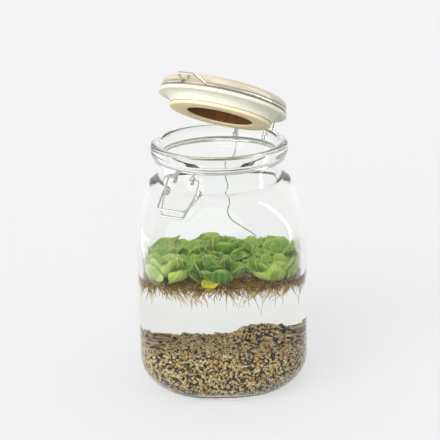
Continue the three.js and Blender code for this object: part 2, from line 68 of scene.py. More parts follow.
@dataclass(frozen=True)
class JarShape:
    """The jar's plan, walls and levels, which all that stands inside it follows."""

    half: float = 62.5
    squareness: float = 3.2
    foot_squareness: float = ROUND
    square_z: float = 30.0
    wall: float = 3.6
    floor_z: float = 5.0
    heel: Pair = (14.0, 24.0)
    inner_heel: Pair = (13.0, 15.0)
    shoulder_z: float = 122.0
    shoulder_height: float = 34.0
    round_above: float = 2.0
    neck_radius: float = 45.6
    bore_radius: float = 42.0
    rim_z: float = 183.7
    rim_radius: float = 50.0
    water_z: float = 90.0

    @property
    def inner(self) -> float:
        """Half the width across the inside of the walls."""
        return self.half - self.wall

    @staticmethod
    def ease(t: float) -> float:
        """Smooth step of t between 0 and 1."""
        t = min(max(t, 0.0), 1.0)
        return t * t * (3 - 2 * t)

    def exponent(self, z: float) -> float:
        """How square the plan is: round at the foot, square up the walls and round again at the neck.

        Args:
            z: height in millimetres.

        Returns:
            The superellipse exponent of the plan at that height.
        """
        if z < self.shoulder_z:
            foot = self.foot_squareness
            return foot + (self.squareness - foot) * self.ease(z / self.square_z)
        closing = (z - self.shoulder_z) / (self.shoulder_height + self.round_above)
        return ROUND + (self.squareness - ROUND) * (1 - self.ease(closing))

    def stretch(self, angle: float, z: float) -> float:
        """How much further out than its half-width the plan reaches.

        Args:
            angle: direction from the axis, in radians.
            z: height in millimetres.

        Returns:
            The factor by which a round outline is stretched in that direction.
        """
        n = self.exponent(z)
        return (abs(math.cos(angle)) ** n + abs(math.sin(angle)) ** n) ** (-1 / n)

    def outline(self, x: float, y: float, z: float) -> float:
        """Half-width of the plan that passes through a point."""
        n = self.exponent(z)
        return (abs(x) ** n + abs(y) ** n) ** (1 / n)

    def square_out(self, vertex: bpy.types.MeshVertex, z: float) -> None:
        """Moves a vertex of a round mesh out to the jar's rounded square.

        Args:
            vertex: the vertex, in metres.
            z: the height in millimetres whose plan it takes.
        """
        if math.hypot(vertex.co.x, vertex.co.y) > ON_AXIS:
            k = self.stretch(math.atan2(vertex.co.y, vertex.co.x), z)
            vertex.co.x *= k
            vertex.co.y *= k

    def square_up(self, obj: bpy.types.Object) -> None:
        """Turns a round spun mesh into the rounded square of each height."""
        for vertex in obj.data.vertices:
            self.square_out(vertex, vertex.co.z / MM)

    def inner_radius(self, z: float) -> float:
        """Half-width of the inside, with its round bottom corner.

        Args:
            z: height in millimetres, from the floor up to the shoulder.

        Returns:
            Half the width across the faces there, in millimetres.
        """
        out, up = self.inner_heel
        drop = min(max((self.floor_z + up - z) / up, 0.0), 1.0)
        return self.inner - out * (1 - math.sqrt(1 - drop * drop))


SHAPE = JarShape()


@dataclass(frozen=True)
class LatchFrame:
    """Directions of the lid's hinge and latch, which lie across the jar from each other."""

    azimuth: float = math.radians(30.5)
    hinge_out: float = 52.0
    hinge_z: float = 174.0
    hinge_loops: Pair = (-14.5, 12.3)
    opening: float = math.radians(27.5)
    lid_out: float = 0.4
    lid_side: float = -3.2

    def back(self, out: float, side: float, z: float) -> Vector:
        """A point in metres from its distance behind the axis, its place along the hinge and its height."""
        s, c = math.sin(self.azimuth), math.cos(self.azimuth)
        return Vector((s * out + c * side, c * out - s * side, z)) * MM

    def front(self, out: float, side: float, z: float) -> Vector:
        """The same on the latch side, where the distance runs towards the front."""
        return self.back(-out, side, z)

    @property
    def side(self) -> Vector:
        """Unit vector along the hinge line."""
        return Vector((math.cos(self.azimuth), -math.sin(self.azimuth), 0))

    @property
    def lid_axis(self) -> Vector:
        """Where the shut lid's own axis stands, a little off the jar's because the lid hangs loosely."""
        return self.back(self.lid_out, self.lid_side, 0)

    def opened(self) -> Matrix:
        """The turn that opens the shut lid about its hinge line.

        Returns:
            The matrix that takes the shut lid's places to the open lid's.
        """
        hinge = self.back(self.hinge_out, 0, self.hinge_z)
        turn = Matrix.Rotation(self.opening, 4, -self.side)
        return Matrix.Translation(hinge) @ turn @ Matrix.Translation(-hinge)


LATCH = LatchFrame()


def arc(centre: Pair, radii: Pair, start: float, end: float, steps: int) -> list[Pair]:
    """Points of an ellipse's arc.

    Args:
        centre: centre of the ellipse as radius and height.
        radii: its half-axes.
        start: first angle in degrees.
        end: last angle in degrees.
        steps: number of steps between them.

    Returns:
        steps + 1 points as radius and height.
    """
    angles = [math.radians(start + (end - start) * i / steps) for i in range(steps + 1)]
    return [(centre[0] + radii[0] * math.cos(a), centre[1] + radii[1] * math.sin(a)) for a in angles]


# -------------------------------------------------------------------------------- finishes


def srgb(code: str) -> Colour:
    """Turns a colour to Blender's linear light.

    Args:
        code: sRGB hex code such as "#C8B68A".

    Returns:
        The linear red, green and blue, and 1 for full cover.
    """
    parts = [int(code.lstrip("#")[i : i + 2], 16) / 255 for i in (0, 2, 4)]
    red, green, blue = (c / 12.92 if c <= 0.04045 else ((c + 0.055) / 1.055) ** 2.4 for c in parts)
    return (red, green, blue, 1.0)


def add_node(
    tree: bpy.types.NodeTree,
    kind: str,
    values: dict[str | int, object] | None = None,
    links: dict[str | int, bpy.types.NodeSocket] | None = None,
    **settings: object,
) -> bpy.types.Node:
    """Adds a shader node.

    Args:
        tree: the node tree.
        kind: the node's type name without "ShaderNode".
        values: socket name or number to constant value.
        links: socket name or number to the output it is fed from.
        **settings: the node's own properties.

    Returns:
        The new node.
    """
    node = tree.nodes.new("ShaderNode" + kind)
    for key, value in settings.items():
        setattr(node, key, value)
    for key, value in (values or {}).items():
        node.inputs[key].default_value = value
    for key, output in (links or {}).items():
        tree.links.new(output, node.inputs[key])
    return node


def colour_ramp(
    tree: bpy.types.NodeTree, factor: bpy.types.NodeSocket, stops: Sequence[tuple[float, str]]
) -> bpy.types.NodeSocket:
    """Adds a colour ramp.

    Args:
        tree: the node tree.
        factor: the output that picks the colour.
        stops: place between 0 and 1 and hex colour of each stop, in order.

    Returns:
        The ramp's colour output.
    """
    ramp = add_node(tree, "ValToRGB", links={"Fac": factor})
    elements = ramp.color_ramp.elements
    while len(elements) < len(stops):
        elements.new(0.5)
    for element, (place, code) in zip(elements, stops):
        element.position = place
        element.color = srgb(code)
    return ramp.outputs["Color"]


class Finish:
    """A real material. Subclasses fill in the node tree round its principled shader."""

    title: str = ""

    def build(self) -> bpy.types.Material:
        """Makes the material and lets the subclass dress its one principled shader.

        Returns:
            The new material.
        """
        material = bpy.data.materials.new(self.title)
        material.use_nodes = True
        tree = material.node_tree
        self.dress(tree, tree.nodes["Principled BSDF"])
        return material

    def dress(self, tree: bpy.types.NodeTree, shader: bpy.types.Node) -> None:
        """Sets the shader's values and adds its pattern nodes."""
        raise NotImplementedError

    @staticmethod
    def all_over(shader: bpy.types.Node, values: dict[str, object]) -> None:
        """Sets what is the same all over the surface on the shader's own sockets."""
        for name, value in values.items():
            shader.inputs[name].default_value = value

    @staticmethod
    def bump(
        tree: bpy.types.NodeTree,
        shader: bpy.types.Node,
        height: bpy.types.NodeSocket,
        depth_mm: float,
        strength: float = 1.0,
    ) -> None:
        """Feeds a height pattern to the shader's normal, with its depth in millimetres."""
        node = add_node(tree, "Bump", {"Strength": strength, "Distance": depth_mm * MM}, {"Height": height})
        tree.links.new(node.outputs["Normal"], shader.inputs["Normal"])


@dataclass(frozen=True)
class MouldedGlass(Finish):
    """Soda-lime jar glass, press-and-blow moulded: clear, very slightly green, with long soft waves.

    Its mirror is weaker than real glass has, because the water lies a hair inside the wall and the renderer
    counts a reflection from each of the two faces.
    """

    title: str = "moulded soda-lime glass"
    tint: str = "#FEFFFE"
    mirror: str = "#9C9C9C"
    wave_mm: float = 38.0

    def dress(self, tree: bpy.types.NodeTree, shader: bpy.types.Node) -> None:
        """Clear refraction with the faint ripple that moulding leaves.

        Args:
            tree: the material's node tree.
            shader: its principled shader.
        """
        self.all_over(
            shader,
            {
                "Base Color": srgb(self.tint),
                "Roughness": 0.0,
                "IOR": 1.51,
                "Specular Tint": srgb(self.mirror),
                "Transmission Weight": 1.0,
            },
        )
        place = {"Vector": add_node(tree, "TexCoord").outputs["Object"]}
        scale = {"Scale": 1 / (self.wave_mm * MM), "Detail": 1.0, "Roughness": 0.4}
        wave = add_node(tree, "TexNoise", scale, place)
        self.bump(tree, shader, wave.outputs["Fac"], 0.2, 0.3)


@dataclass(frozen=True)
class StillWater(Finish):
    """Clear still water, with the faintest ripple on its surface."""

    title: str = "still clear water"
    tint: str = "#FFFFFE"
    mirror: str = "#7C7C7C"
    ripple_mm: float = 24.0

    def dress(self, tree: bpy.types.NodeTree, shader: bpy.types.Node) -> None:
        """Clear refraction at water's index, with the weak mirror that water has against glass.

        Args:
            tree: the material's node tree.
            shader: its principled shader.
        """
        self.all_over(
            shader,
            {
                "Base Color": srgb(self.tint),
                "Roughness": 0.0,
                "IOR": 1.333,
                "Specular Tint": srgb(self.mirror),
                "Transmission Weight": 1.0,
            },
        )
        place = {"Vector": add_node(tree, "TexCoord").outputs["Object"]}
        ripple = add_node(tree, "TexNoise", {"Scale": 1 / (self.ripple_mm * MM), "Detail": 1.0}, place)
        self.bump(tree, shader, ripple.outputs["Fac"], 0.12, 0.3)


class StoneFamily(Enum):
    """The kinds of stone mixed in the bed: name, colours from dark to light, and share of all the grains.

    Stone looks lighter here than it is dry, because the renderer darkens what lies under water.
    """

    PALE = ("pale quartz grit", ("#BE9842", "#E6C474", "#F4DC98", "#FDF0C4"), 0.66)
    WARM = ("rusty feldspar grit", ("#8A4818", "#C07A36", "#E0A95E", "#F0C886"), 0.14)
    DARK = ("black basalt grit", ("#080705", "#16130E", "#2C271D", "#5E5746"), 0.20)


@dataclass(frozen=True)
class WetGrit(Finish):
    """River grit under water: each grain has its own tone, with mineral specks and a wet gloss."""

    family: StoneFamily = StoneFamily.PALE
    speck_mm: float = 0.9

    @property
    def title(self) -> str:
        """Name of the material."""
        return self.family.value[0]

    def dress(self, tree: bpy.types.NodeTree, shader: bpy.types.Node) -> None:
        """A tone for each grain from its attribute, and mineral specks nearly as large as a grain.

        Args:
            tree: the material's node tree.
            shader: its principled shader.
        """
        tone = add_node(tree, "Attribute", attribute_name="tone").outputs["Fac"]
        place = {"Vector": add_node(tree, "TexCoord").outputs["Object"]}
        # real specks are a tenth of a millimetre; these are drawn coarse enough to show
        specks = add_node(tree, "TexNoise", {"Scale": 1 / (self.speck_mm * MM), "Detail": 3.0}, place)
        mixed = add_node(tree, "Math", {1: 0.55}, {0: specks.outputs["Fac"]}, operation="MULTIPLY")
        shade = add_node(tree, "Math", links={0: tone, 1: mixed.outputs[0]}, operation="ADD")
        stops = list(zip((0.12, 0.42, 0.72, 1.0), self.family.value[1]))
        tree.links.new(colour_ramp(tree, shade.outputs[0], stops), shader.inputs["Base Color"])
        self.all_over(shader, {"Roughness": 0.5})
        self.bump(tree, shader, specks.outputs["Fac"], 0.12)


@dataclass(frozen=True)
class GritCoreInPaintedShade(Finish):
    """The inside of the bed, seen only in the gaps between grains: painted shade, far darker than the stones.
    """

    title: str = "grit core in painted shade"
    grain_mm: float = 2.2

    def dress(self, tree: bpy.types.NodeTree, shader: bpy.types.Node) -> None:
        """Cells of a grain's size in dark mixed colours that paint the shade between grains, with shadowed
        joints.

        Args:
            tree: the material's node tree.
            shader: its principled shader.
        """
        place = {"Vector": add_node(tree, "TexCoord").outputs["Object"]}
        cells = add_node(tree, "TexVoronoi", {"Scale": 1 / (self.grain_mm * MM)}, place)
        tone = add_node(tree, "SeparateColor", links={"Color": cells.outputs["Color"]})
        # dark stops: painted shade deep in the bed between the grains
        stops = [(0.0, "#15120E"), (0.4, "#2C251A"), (0.75, "#54472E"), (1.0, "#86734A")]
        tree.links.new(colour_ramp(tree, tone.outputs["Red"], stops), shader.inputs["Base Color"])
        self.all_over(shader, {"Roughness": 0.7})
        self.bump(tree, shader, cells.outputs["Distance"], 0.6)


@dataclass(frozen=True)
class VelvetLeaf(Finish):
    """Living leaf of a floating rosette: soft, ribbed lengthwise, furred with fine hairs."""

    title: str = "velvety floating leaf"
    vein_count: float = 4.5
    mottle_mm: float = 6.0
    hair_mm: float = 0.5
    back: str = "#86AC44"
    vein: str = "#A6C458"
    margin: str = "#BACC70"
    # dark green painted over each blade's base, as shade where the rosette crowds
    painted_base_shade: str = "#244A04"
    aged: str = "#C9C21E"

    def dress(self, tree: bpy.types.NodeTree, shader: bpy.types.Node) -> None:
        """Fanned pale veins from the leaf's own map, a paler margin and back, painted shade at the base, each
        leaf's tone and age.

        Args:
            tree: the material's node tree.
            shader: its principled shader.
        """
        uv = add_node(tree, "UVMap", uv_map="leaf")
        across = add_node(tree, "SeparateXYZ", links={0: uv.outputs["UV"]})
        place = {"Vector": add_node(tree, "TexCoord").outputs["Object"]}
        tone, age, under = (
            add_node(tree, "Attribute", attribute_name=name).outputs["Fac"]
            for name in ("tone", "age", "under")
        )
        mottle = add_node(tree, "TexNoise", {"Scale": 1 / (self.mottle_mm * MM), "Detail": 4.0}, place)
        turns = {1: self.vein_count * 2 * math.pi}
        turn = add_node(tree, "Math", turns, {0: across.outputs["X"]}, operation="MULTIPLY")
        wave = add_node(tree, "Math", links={0: turn.outputs[0]}, operation="COSINE")
        vein, margin, painted_base_shade = (
            add_node(
                tree,
                "MapRange",
                {"From Min": start, "From Max": end, "To Min": low, "To Max": high},
                {"Value": source},
                interpolation_type="SMOOTHSTEP",
            ).outputs[0]
            for source, start, end, low, high in (
                (wave.outputs[0], 0.2, 1.0, 0.0, 1.0),
                (across.outputs["Y"], 0.8, 1.0, 0.0, 0.55),
                # painted shade: darkest at the blade's base, fading out by its middle
                (across.outputs["Y"], 0.05, 0.6, 0.85, 0.0),
            )
        )
        patch = add_node(tree, "Math", {1: 0.45}, {0: mottle.outputs["Fac"]}, operation="MULTIPLY")
        shade = add_node(tree, "Math", links={0: patch.outputs[0], 1: tone}, operation="ADD")
        stops = [(0.2, "#2C6604"), (0.45, "#4C8408"), (0.72, "#7CA824"), (1.0, "#B2CC5C")]
        colour = colour_ramp(tree, shade.outputs[0], stops)
        soft = add_node(tree, "Math", {1: 0.26}, {0: vein}, operation="MULTIPLY")
        for factor, code in (
            (under, self.back),
            (soft.outputs[0], self.vein),
            (margin, self.margin),
            (painted_base_shade, self.painted_base_shade),
            (age, self.aged),
        ):
            layer = add_node(tree, "Mix", {7: srgb(code)}, {"Factor": factor, 6: colour}, data_type="RGBA")
            colour = layer.outputs[2]
        tree.links.new(colour, shader.inputs["Base Color"])
        self.all_over(
            shader,
            {
                "Roughness": 0.6,
                "Subsurface Weight": 0.45,
                "Subsurface Radius": (0.8, 1.0, 0.25),
                "Subsurface Scale": 2.5 * MM,
                "Sheen Weight": 0.15,
                "Sheen Roughness": 0.5,
                "Sheen Tint": srgb("#E9F3D6"),
            },
        )
        # real hairs are a tenth of a millimetre apart; these are drawn coarse enough to show
        hairs = add_node(tree, "TexNoise", {"Scale": 1 / (self.hair_mm * MM), "Detail": 2.0}, place)
        fur = add_node(tree, "Math", {1: 0.25}, {0: hairs.outputs["Fac"]}, operation="MULTIPLY")
        relief = add_node(tree, "Math", links={0: fur.outputs[0], 1: vein}, operation="ADD")
        self.bump(tree, shader, relief.outputs[0], 0.3)


@dataclass(frozen=True)
class RootFibre(Finish):
    """Fine water roots: translucent golden brown, painted darker near the crown as shade in the thick of the
    tuft.
    """

    title: str = "water root fibre"
    patch_mm: float = 3.5

    def dress(self, tree: bpy.types.NodeTree, shader: bpy.types.Node) -> None:
        """Golden towards the tips and painted dark brown at the crown as shade, uneven along and between the
        fibres.

        Args:
            tree: the material's node tree.
            shader: its principled shader.
        """
        place = {"Vector": add_node(tree, "TexCoord").outputs["Object"]}
        patches = add_node(tree, "TexNoise", {"Scale": 1 / (self.patch_mm * MM), "Detail": 3.0}, place)
        # depth is 0 at the crown, where the fibres are painted dark as shade under the leaves, and rises
        # towards the golden tips
        depth = add_node(tree, "Attribute", attribute_name="depth").outputs["Fac"]
        uneven = add_node(tree, "Math", {1: 0.8}, {0: patches.outputs["Fac"]}, operation="MULTIPLY")
        shade = add_node(tree, "Math", links={0: uneven.outputs[0], 1: depth}, operation="ADD")
        stops = [(0.3, "#644C10"), (0.45, "#AC8422"), (0.7, "#DCB444"), (1.0, "#FCE48C")]
        tree.links.new(colour_ramp(tree, shade.outputs[0], stops), shader.inputs["Base Color"])
        self.all_over(
            shader,
            {
                "Roughness": 0.5,
                "Subsurface Weight": 0.3,
                "Subsurface Radius": (1.0, 0.6, 0.2),
                "Subsurface Scale": 0.8 * MM,
            },
        )


@dataclass(frozen=True)
class DrawnSteelWire(Finish):
    """Drawn stainless steel wire: bright, with fine die lines that soften the reflections."""

    title: str = "drawn stainless wire"
    grain_mm: float = 0.6

    def dress(self, tree: bpy.types.NodeTree, shader: bpy.types.Node) -> None:
        """Polished metal with a fine uneven grain.

        Args:
            tree: the material's node tree.
            shader: its principled shader.
        """
        place = {"Vector": add_node(tree, "TexCoord").outputs["Object"]}
        # real die lines are hundredths of a millimetre wide; the grain is drawn coarse enough to show
        grain = add_node(tree, "TexNoise", {"Scale": 1 / (self.grain_mm * MM), "Detail": 3.0}, place)
        rough = add_node(tree, "MapRange", {"To Min": 0.06, "To Max": 0.2}, {"Value": grain.outputs["Fac"]})
        tree.links.new(rough.outputs[0], shader.inputs["Roughness"])
        colour = colour_ramp(tree, grain.outputs["Fac"], [(0.3, "#C2C4C1"), (0.7, "#DADCD8")])
        tree.links.new(colour, shader.inputs["Base Color"])
        self.all_over(shader, {"Metallic": 1.0})
        self.bump(tree, shader, grain.outputs["Fac"], 0.03)


@dataclass(frozen=True)
class GlazedStoneware(Finish):
    """Cream glaze over stoneware, dipped and fired, painted darker as shade: glossy, pooled a little
    unevenly, with faint specks.
    """

    title: str = "cream glazed stoneware"
    cloud_mm: float = 22.0
    speck_gap_mm: float = 4.5

    def dress(self, tree: bpy.types.NodeTree, shader: bpy.types.Node) -> None:
        """Soft clouds in the glaze and a few pale brown specks under half a millimetre across.

        Args:
            tree: the material's node tree.
            shader: its principled shader.
        """
        place = {"Vector": add_node(tree, "TexCoord").outputs["Object"]}
        clouds = add_node(tree, "TexNoise", {"Scale": 1 / (self.cloud_mm * MM), "Detail": 3.0}, place)
        # the cream is drawn greyer and darker than the glaze is: painted shade over the whole lid
        glaze = colour_ramp(tree, clouds.outputs["Fac"], [(0.3, "#B3A78F"), (0.7, "#BEB39E")])
        specks = add_node(tree, "TexVoronoi", {"Scale": 1 / (self.speck_gap_mm * MM)}, place)
        near = {"From Min": 0.04, "From Max": 0.1, "To Min": 0.35, "To Max": 0.0}
        dots = add_node(tree, "MapRange", near, {"Value": specks.outputs["Distance"]})
        links = {"Factor": dots.outputs[0], 6: glaze}
        speckled = add_node(tree, "Mix", {7: srgb("#A38C66")}, links, data_type="RGBA")
        tree.links.new(speckled.outputs[2], shader.inputs["Base Color"])
        self.all_over(shader, {"Roughness": 0.22, "IOR": 1.5, "Coat Weight": 0.4, "Coat Roughness": 0.08})
        self.bump(tree, shader, clouds.outputs["Fac"], 0.15)


@dataclass(frozen=True)
class FiredClay(Finish):
    """Unglazed fired clay: matt, clouded from its kiln, with a sandy grain."""

    stops: tuple[tuple[float, str], ...] = ()
    grain_mm: float = 1.0
    roughness: float = 0.5
    relief_mm: float = 0.1

    def dress(self, tree: bpy.types.NodeTree, shader: bpy.types.Node) -> None:
        """Dry clay whose colour and grain follow the same uneven pattern.

        Args:
            tree: the material's node tree.
            shader: its principled shader.
        """
        place = {"Vector": add_node(tree, "TexCoord").outputs["Object"]}
        grog = add_node(tree, "TexNoise", {"Scale": 1 / (self.grain_mm * MM), "Detail": 5.0}, place)
        tree.links.new(colour_ramp(tree, grog.outputs["Fac"], self.stops), shader.inputs["Base Color"])
        self.all_over(shader, {"Roughness": self.roughness})
        self.bump(tree, shader, grog.outputs["Fac"], self.relief_mm)


@dataclass(frozen=True)
class BareClay(FiredClay):
    """Unglazed brown clay in the recess: matt and coarse, with grog of a millimetre or two."""

    title: str = "bare turned clay"
    stops: tuple[tuple[float, str], ...] = ((0.3, "#543414"), (0.55, "#603E1C"), (0.8, "#6F4C28"))
    grain_mm: float = 2.4
    roughness: float = 0.85
    relief_mm: float = 0.25


@dataclass(frozen=True)
class BuffBiscuit(FiredClay):
    """Bare buff body of the plug, wiped clean of glaze: a warm peach, smooth and dull, in soft clouds."""

    title: str = "buff biscuit stoneware"
    stops: tuple[tuple[float, str], ...] = ((0.3, "#DFC8A0"), (0.7, "#E9D6B4"))
    grain_mm: float = 9.0


@dataclass(frozen=True)
class SiliconeSeal(Finish):
    """Moulded white silicone: milky, slightly see-through at its edges, with a dusty satin face."""

    title: str = "moulded white silicone"
    bloom_mm: float = 7.0

    def dress(self, tree: bpy.types.NodeTree, shader: bpy.types.Node) -> None:
        """Milky body with light scattered inside it and a fine bloom.

        Args:
            tree: the material's node tree.
            shader: its principled shader.
        """
        place = {"Vector": add_node(tree, "TexCoord").outputs["Object"]}
        bloom = add_node(tree, "TexNoise", {"Scale": 1 / (self.bloom_mm * MM), "Detail": 4.0}, place)
        colour = colour_ramp(tree, bloom.outputs["Fac"], [(0.3, "#C6C5B4"), (0.7, "#CFCEBF")])
        tree.links.new(colour, shader.inputs["Base Color"])
        rough = add_node(tree, "MapRange", {"To Min": 0.38, "To Max": 0.58}, {"Value": bloom.outputs["Fac"]})
        tree.links.new(rough.outputs[0], shader.inputs["Roughness"])
        self.all_over(
            shader,
            {"Subsurface Weight": 0.3, "Subsurface Radius": (1.0, 0.9, 0.7), "Subsurface Scale": 2.0 * MM},
        )


@dataclass(frozen=True)
class StudioPaper(Finish):
    """Seamless white sheet lit softly from below: matt, with no grain and hardly any shadow."""

    title: str = "seamless white sheet"
    tint: str = "#7A7A7A"
    glow: float = 0.61

    def dress(self, tree: bpy.types.NodeTree, shader: bpy.types.Node) -> None:
        """A plain pale matt sheet, most of whose light comes through it.

        Args:
            tree: the material's node tree, which gets no pattern.
            shader: its principled shader.
        """
        self.all_over(
            shader,
            {
                "Base Color": srgb(self.tint),
                "Emission Color": srgb("#FFFFFF"),
                "Emission Strength": self.glow,
                "Roughness": 0.9,
                "Specular IOR Level": 0.1,
            },
        )


# -------------------------------------------------------------------------------- workbench


class Workbench:
    """Modelling moves shared by the pieces, made with Blender's own operators."""

    @staticmethod
    def clear() -> None:
        """Leaves object mode with nothing selected."""
        if bpy.context.object and bpy.context.object.mode != "OBJECT":
            bpy.ops.object.mode_set(mode="OBJECT")
        bpy.ops.object.select_all(action="DESELECT")

    @staticmethod
    def pick(obj: bpy.types.Object) -> None:
        """Selects one object alone and makes it active.

        Args:
            obj: the object.
        """
        Workbench.clear()
        obj.select_set(True)
        bpy.context.view_layer.objects.active = obj

    @staticmethod
    def spun(name: str, profile: Sequence[Pair], steps: int) -> bpy.types.Object:
        """Spins a profile about the Z axis.

        Args:
            name: the new object's name.
            profile: radius and height of each point in millimetres, in order.
            steps: number of facets round the axis.

        Returns:
            A closed mesh whose faces point outwards.
        """
        Workbench.clear()
        bpy.ops.mesh.primitive_plane_add(size=MM)
        obj = bpy.context.object
        obj.name = obj.data.name = name
        bpy.ops.object.mode_set(mode="EDIT")
        bpy.ops.mesh.select_mode(type="VERT")
        bpy.ops.mesh.select_all(action="SELECT")
        bpy.ops.mesh.merge(type="CENTER")
        radius, height = profile[0]
        bpy.ops.transform.translate(value=(radius * MM, 0, height * MM))
        for (r0, z0), (r1, z1) in zip(profile, profile[1:]):
            step = ((r1 - r0) * MM, 0, (z1 - z0) * MM)
            bpy.ops.mesh.extrude_region_move(TRANSFORM_OT_translate={"value": step})
        bpy.ops.mesh.select_all(action="SELECT")
        bpy.ops.mesh.spin(steps=steps, angle=2 * math.pi, center=(0, 0, 0), axis=(0, 0, 1))
        bpy.ops.mesh.select_all(action="SELECT")
        bpy.ops.mesh.remove_doubles(threshold=2e-6)
        bpy.ops.mesh.normals_make_consistent(inside=False)
        bpy.ops.object.mode_set(mode="OBJECT")
        return obj

    @staticmethod
    def wire(
        name: str, paths: Iterable[tuple[Sequence[Vector], bool]], radius: float, taper: float = 0.0
    ) -> bpy.types.Object:
        """Bends round wires along paths.

        Args:
            name: the new object's name.
            paths: each path's points in metres, and whether it is a closed ring.
            radius: the wire's radius in millimetres.
            taper: share of its radius that each wire loses by its end.

        Returns:
            One mesh of all the wires, with closed ends; tapering ones have few sides.
        """
        Workbench.clear()
        bpy.ops.curve.primitive_nurbs_path_add()
        obj = bpy.context.object
        obj.name = obj.data.name = name
        curve = obj.data
        curve.splines.clear()
        curve.dimensions = "3D"
        curve.bevel_depth = radius * MM
        curve.bevel_resolution = 0 if taper else 3
        curve.use_fill_caps = True
        for points, ring in paths:
            spline = curve.splines.new("POLY")
            spline.points.add(len(points) - 1)
            for i, (node, point) in enumerate(zip(spline.points, points)):
                node.co = (*point, 1)
                node.radius = 1 - taper * i / (len(points) - 1)
            spline.use_cyclic_u = ring
        bpy.ops.object.convert(target="MESH")
        return bpy.context.object

    @staticmethod
    def joined(name: str, parts: Sequence[bpy.types.Object]) -> bpy.types.Object:
        """Joins objects into one mesh.

        Args:
            name: the name of the joined object.
            parts: the objects, which it uses up.

        Returns:
            The one object.
        """
        Workbench.pick(parts[0])
        for part in parts:
            part.select_set(True)
        bpy.ops.object.join()
        bpy.context.object.name = bpy.context.object.data.name = name
        return bpy.context.object

    @staticmethod
    def from_arrays(
        name: str,
        points: np.ndarray,
        faces: np.ndarray,
        layers: dict[str, np.ndarray],
        uv: np.ndarray | None = None,
    ) -> bpy.types.Object:
        """Makes one mesh of many copies.

        Args:
            name: the new object's name.
            points: vertex places in metres, n by 3.
            faces: vertex numbers, m by 3 or m by 4.
            layers: attribute name to one number for each vertex.
            uv: map coordinates of each vertex, n by 2, for the map named "leaf".

        Returns:
            The mesh object, with its place in its mesh.
        """
        mesh = bpy.data.meshes.new(name)
        mesh.vertices.add(len(points))
        mesh.vertices.foreach_set("co", np.ascontiguousarray(points, np.float32).ravel())
        sides = faces.shape[1]
        mesh.loops.add(faces.size)
        mesh.loops.foreach_set("vertex_index", np.ascontiguousarray(faces, np.int32).ravel())
        mesh.polygons.add(len(faces))
        mesh.polygons.foreach_set("loop_start", np.arange(0, faces.size, sides, dtype=np.int32))
        mesh.update(calc_edges=True)
        if uv is not None:
            corners = uv[faces.ravel()].astype(np.float32)
            mesh.uv_layers.new(name="leaf").data.foreach_set("uv", corners.ravel())
        mesh.validate()
        obj = bpy.data.objects.new(name, mesh)
        for key, values in layers.items():
            Workbench.mark(obj, key, values)
        bpy.context.scene.collection.objects.link(obj)
        return obj

    @staticmethod
    def mark(obj: bpy.types.Object, name: str, values: np.ndarray) -> None:
        """Writes one number for each vertex into a named attribute, for a material to read."""
        layer = obj.data.attributes.new(name, "FLOAT", "POINT")
        layer.data.foreach_set("value", values.astype(np.float32))

    @staticmethod
    def with_modifier(obj: bpy.types.Object, kind: str, **settings: object) -> None:
        """Adds a modifier and applies it.

        Args:
            obj: the object.
            kind: the modifier's type.
            **settings: the modifier's own properties.
        """
        Workbench.pick(obj)
        modifier = obj.modifiers.new(kind.lower(), kind)
        for key, value in settings.items():
            setattr(modifier, key, value)
        bpy.ops.object.modifier_apply(modifier=modifier.name)

    @staticmethod
    def finished(
        obj: bpy.types.Object,
        body: str,
        slot: str,
        finishes: Sequence[bpy.types.Material],
        stands_for: Sequence[str] = (),
        sharp: float | None = 40.0,
    ) -> None:
        """Dresses a piece and ties it to the frame.

        Args:
            obj: the piece.
            body: the body it rides on.
            slot: the record's material slot; not used.
            finishes: its materials, in slot order; a piece that has its own already keeps them.
            stands_for: the CAD nodes it replaces.
            sharp: angle in degrees past which an edge stays sharp, or None for flat facets.
        """
        Workbench.pick(obj)
        bpy.ops.object.transform_apply(location=True, rotation=True, scale=True)
        if len(obj.data.materials) == 0:
            for finish in finishes:
                obj.data.materials.append(finish)
        if sharp is None:
            bpy.ops.object.shade_flat()
        else:
            bpy.ops.object.shade_smooth_by_angle(angle=math.radians(sharp))
        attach(obj, body)
        if stands_for:
            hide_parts(*stands_for)
        Workbench.clear()
        LOG.info("%s: %d faces", obj.name, len(obj.data.polygons))


# -------------------------------------------------------------------------------- jar and water


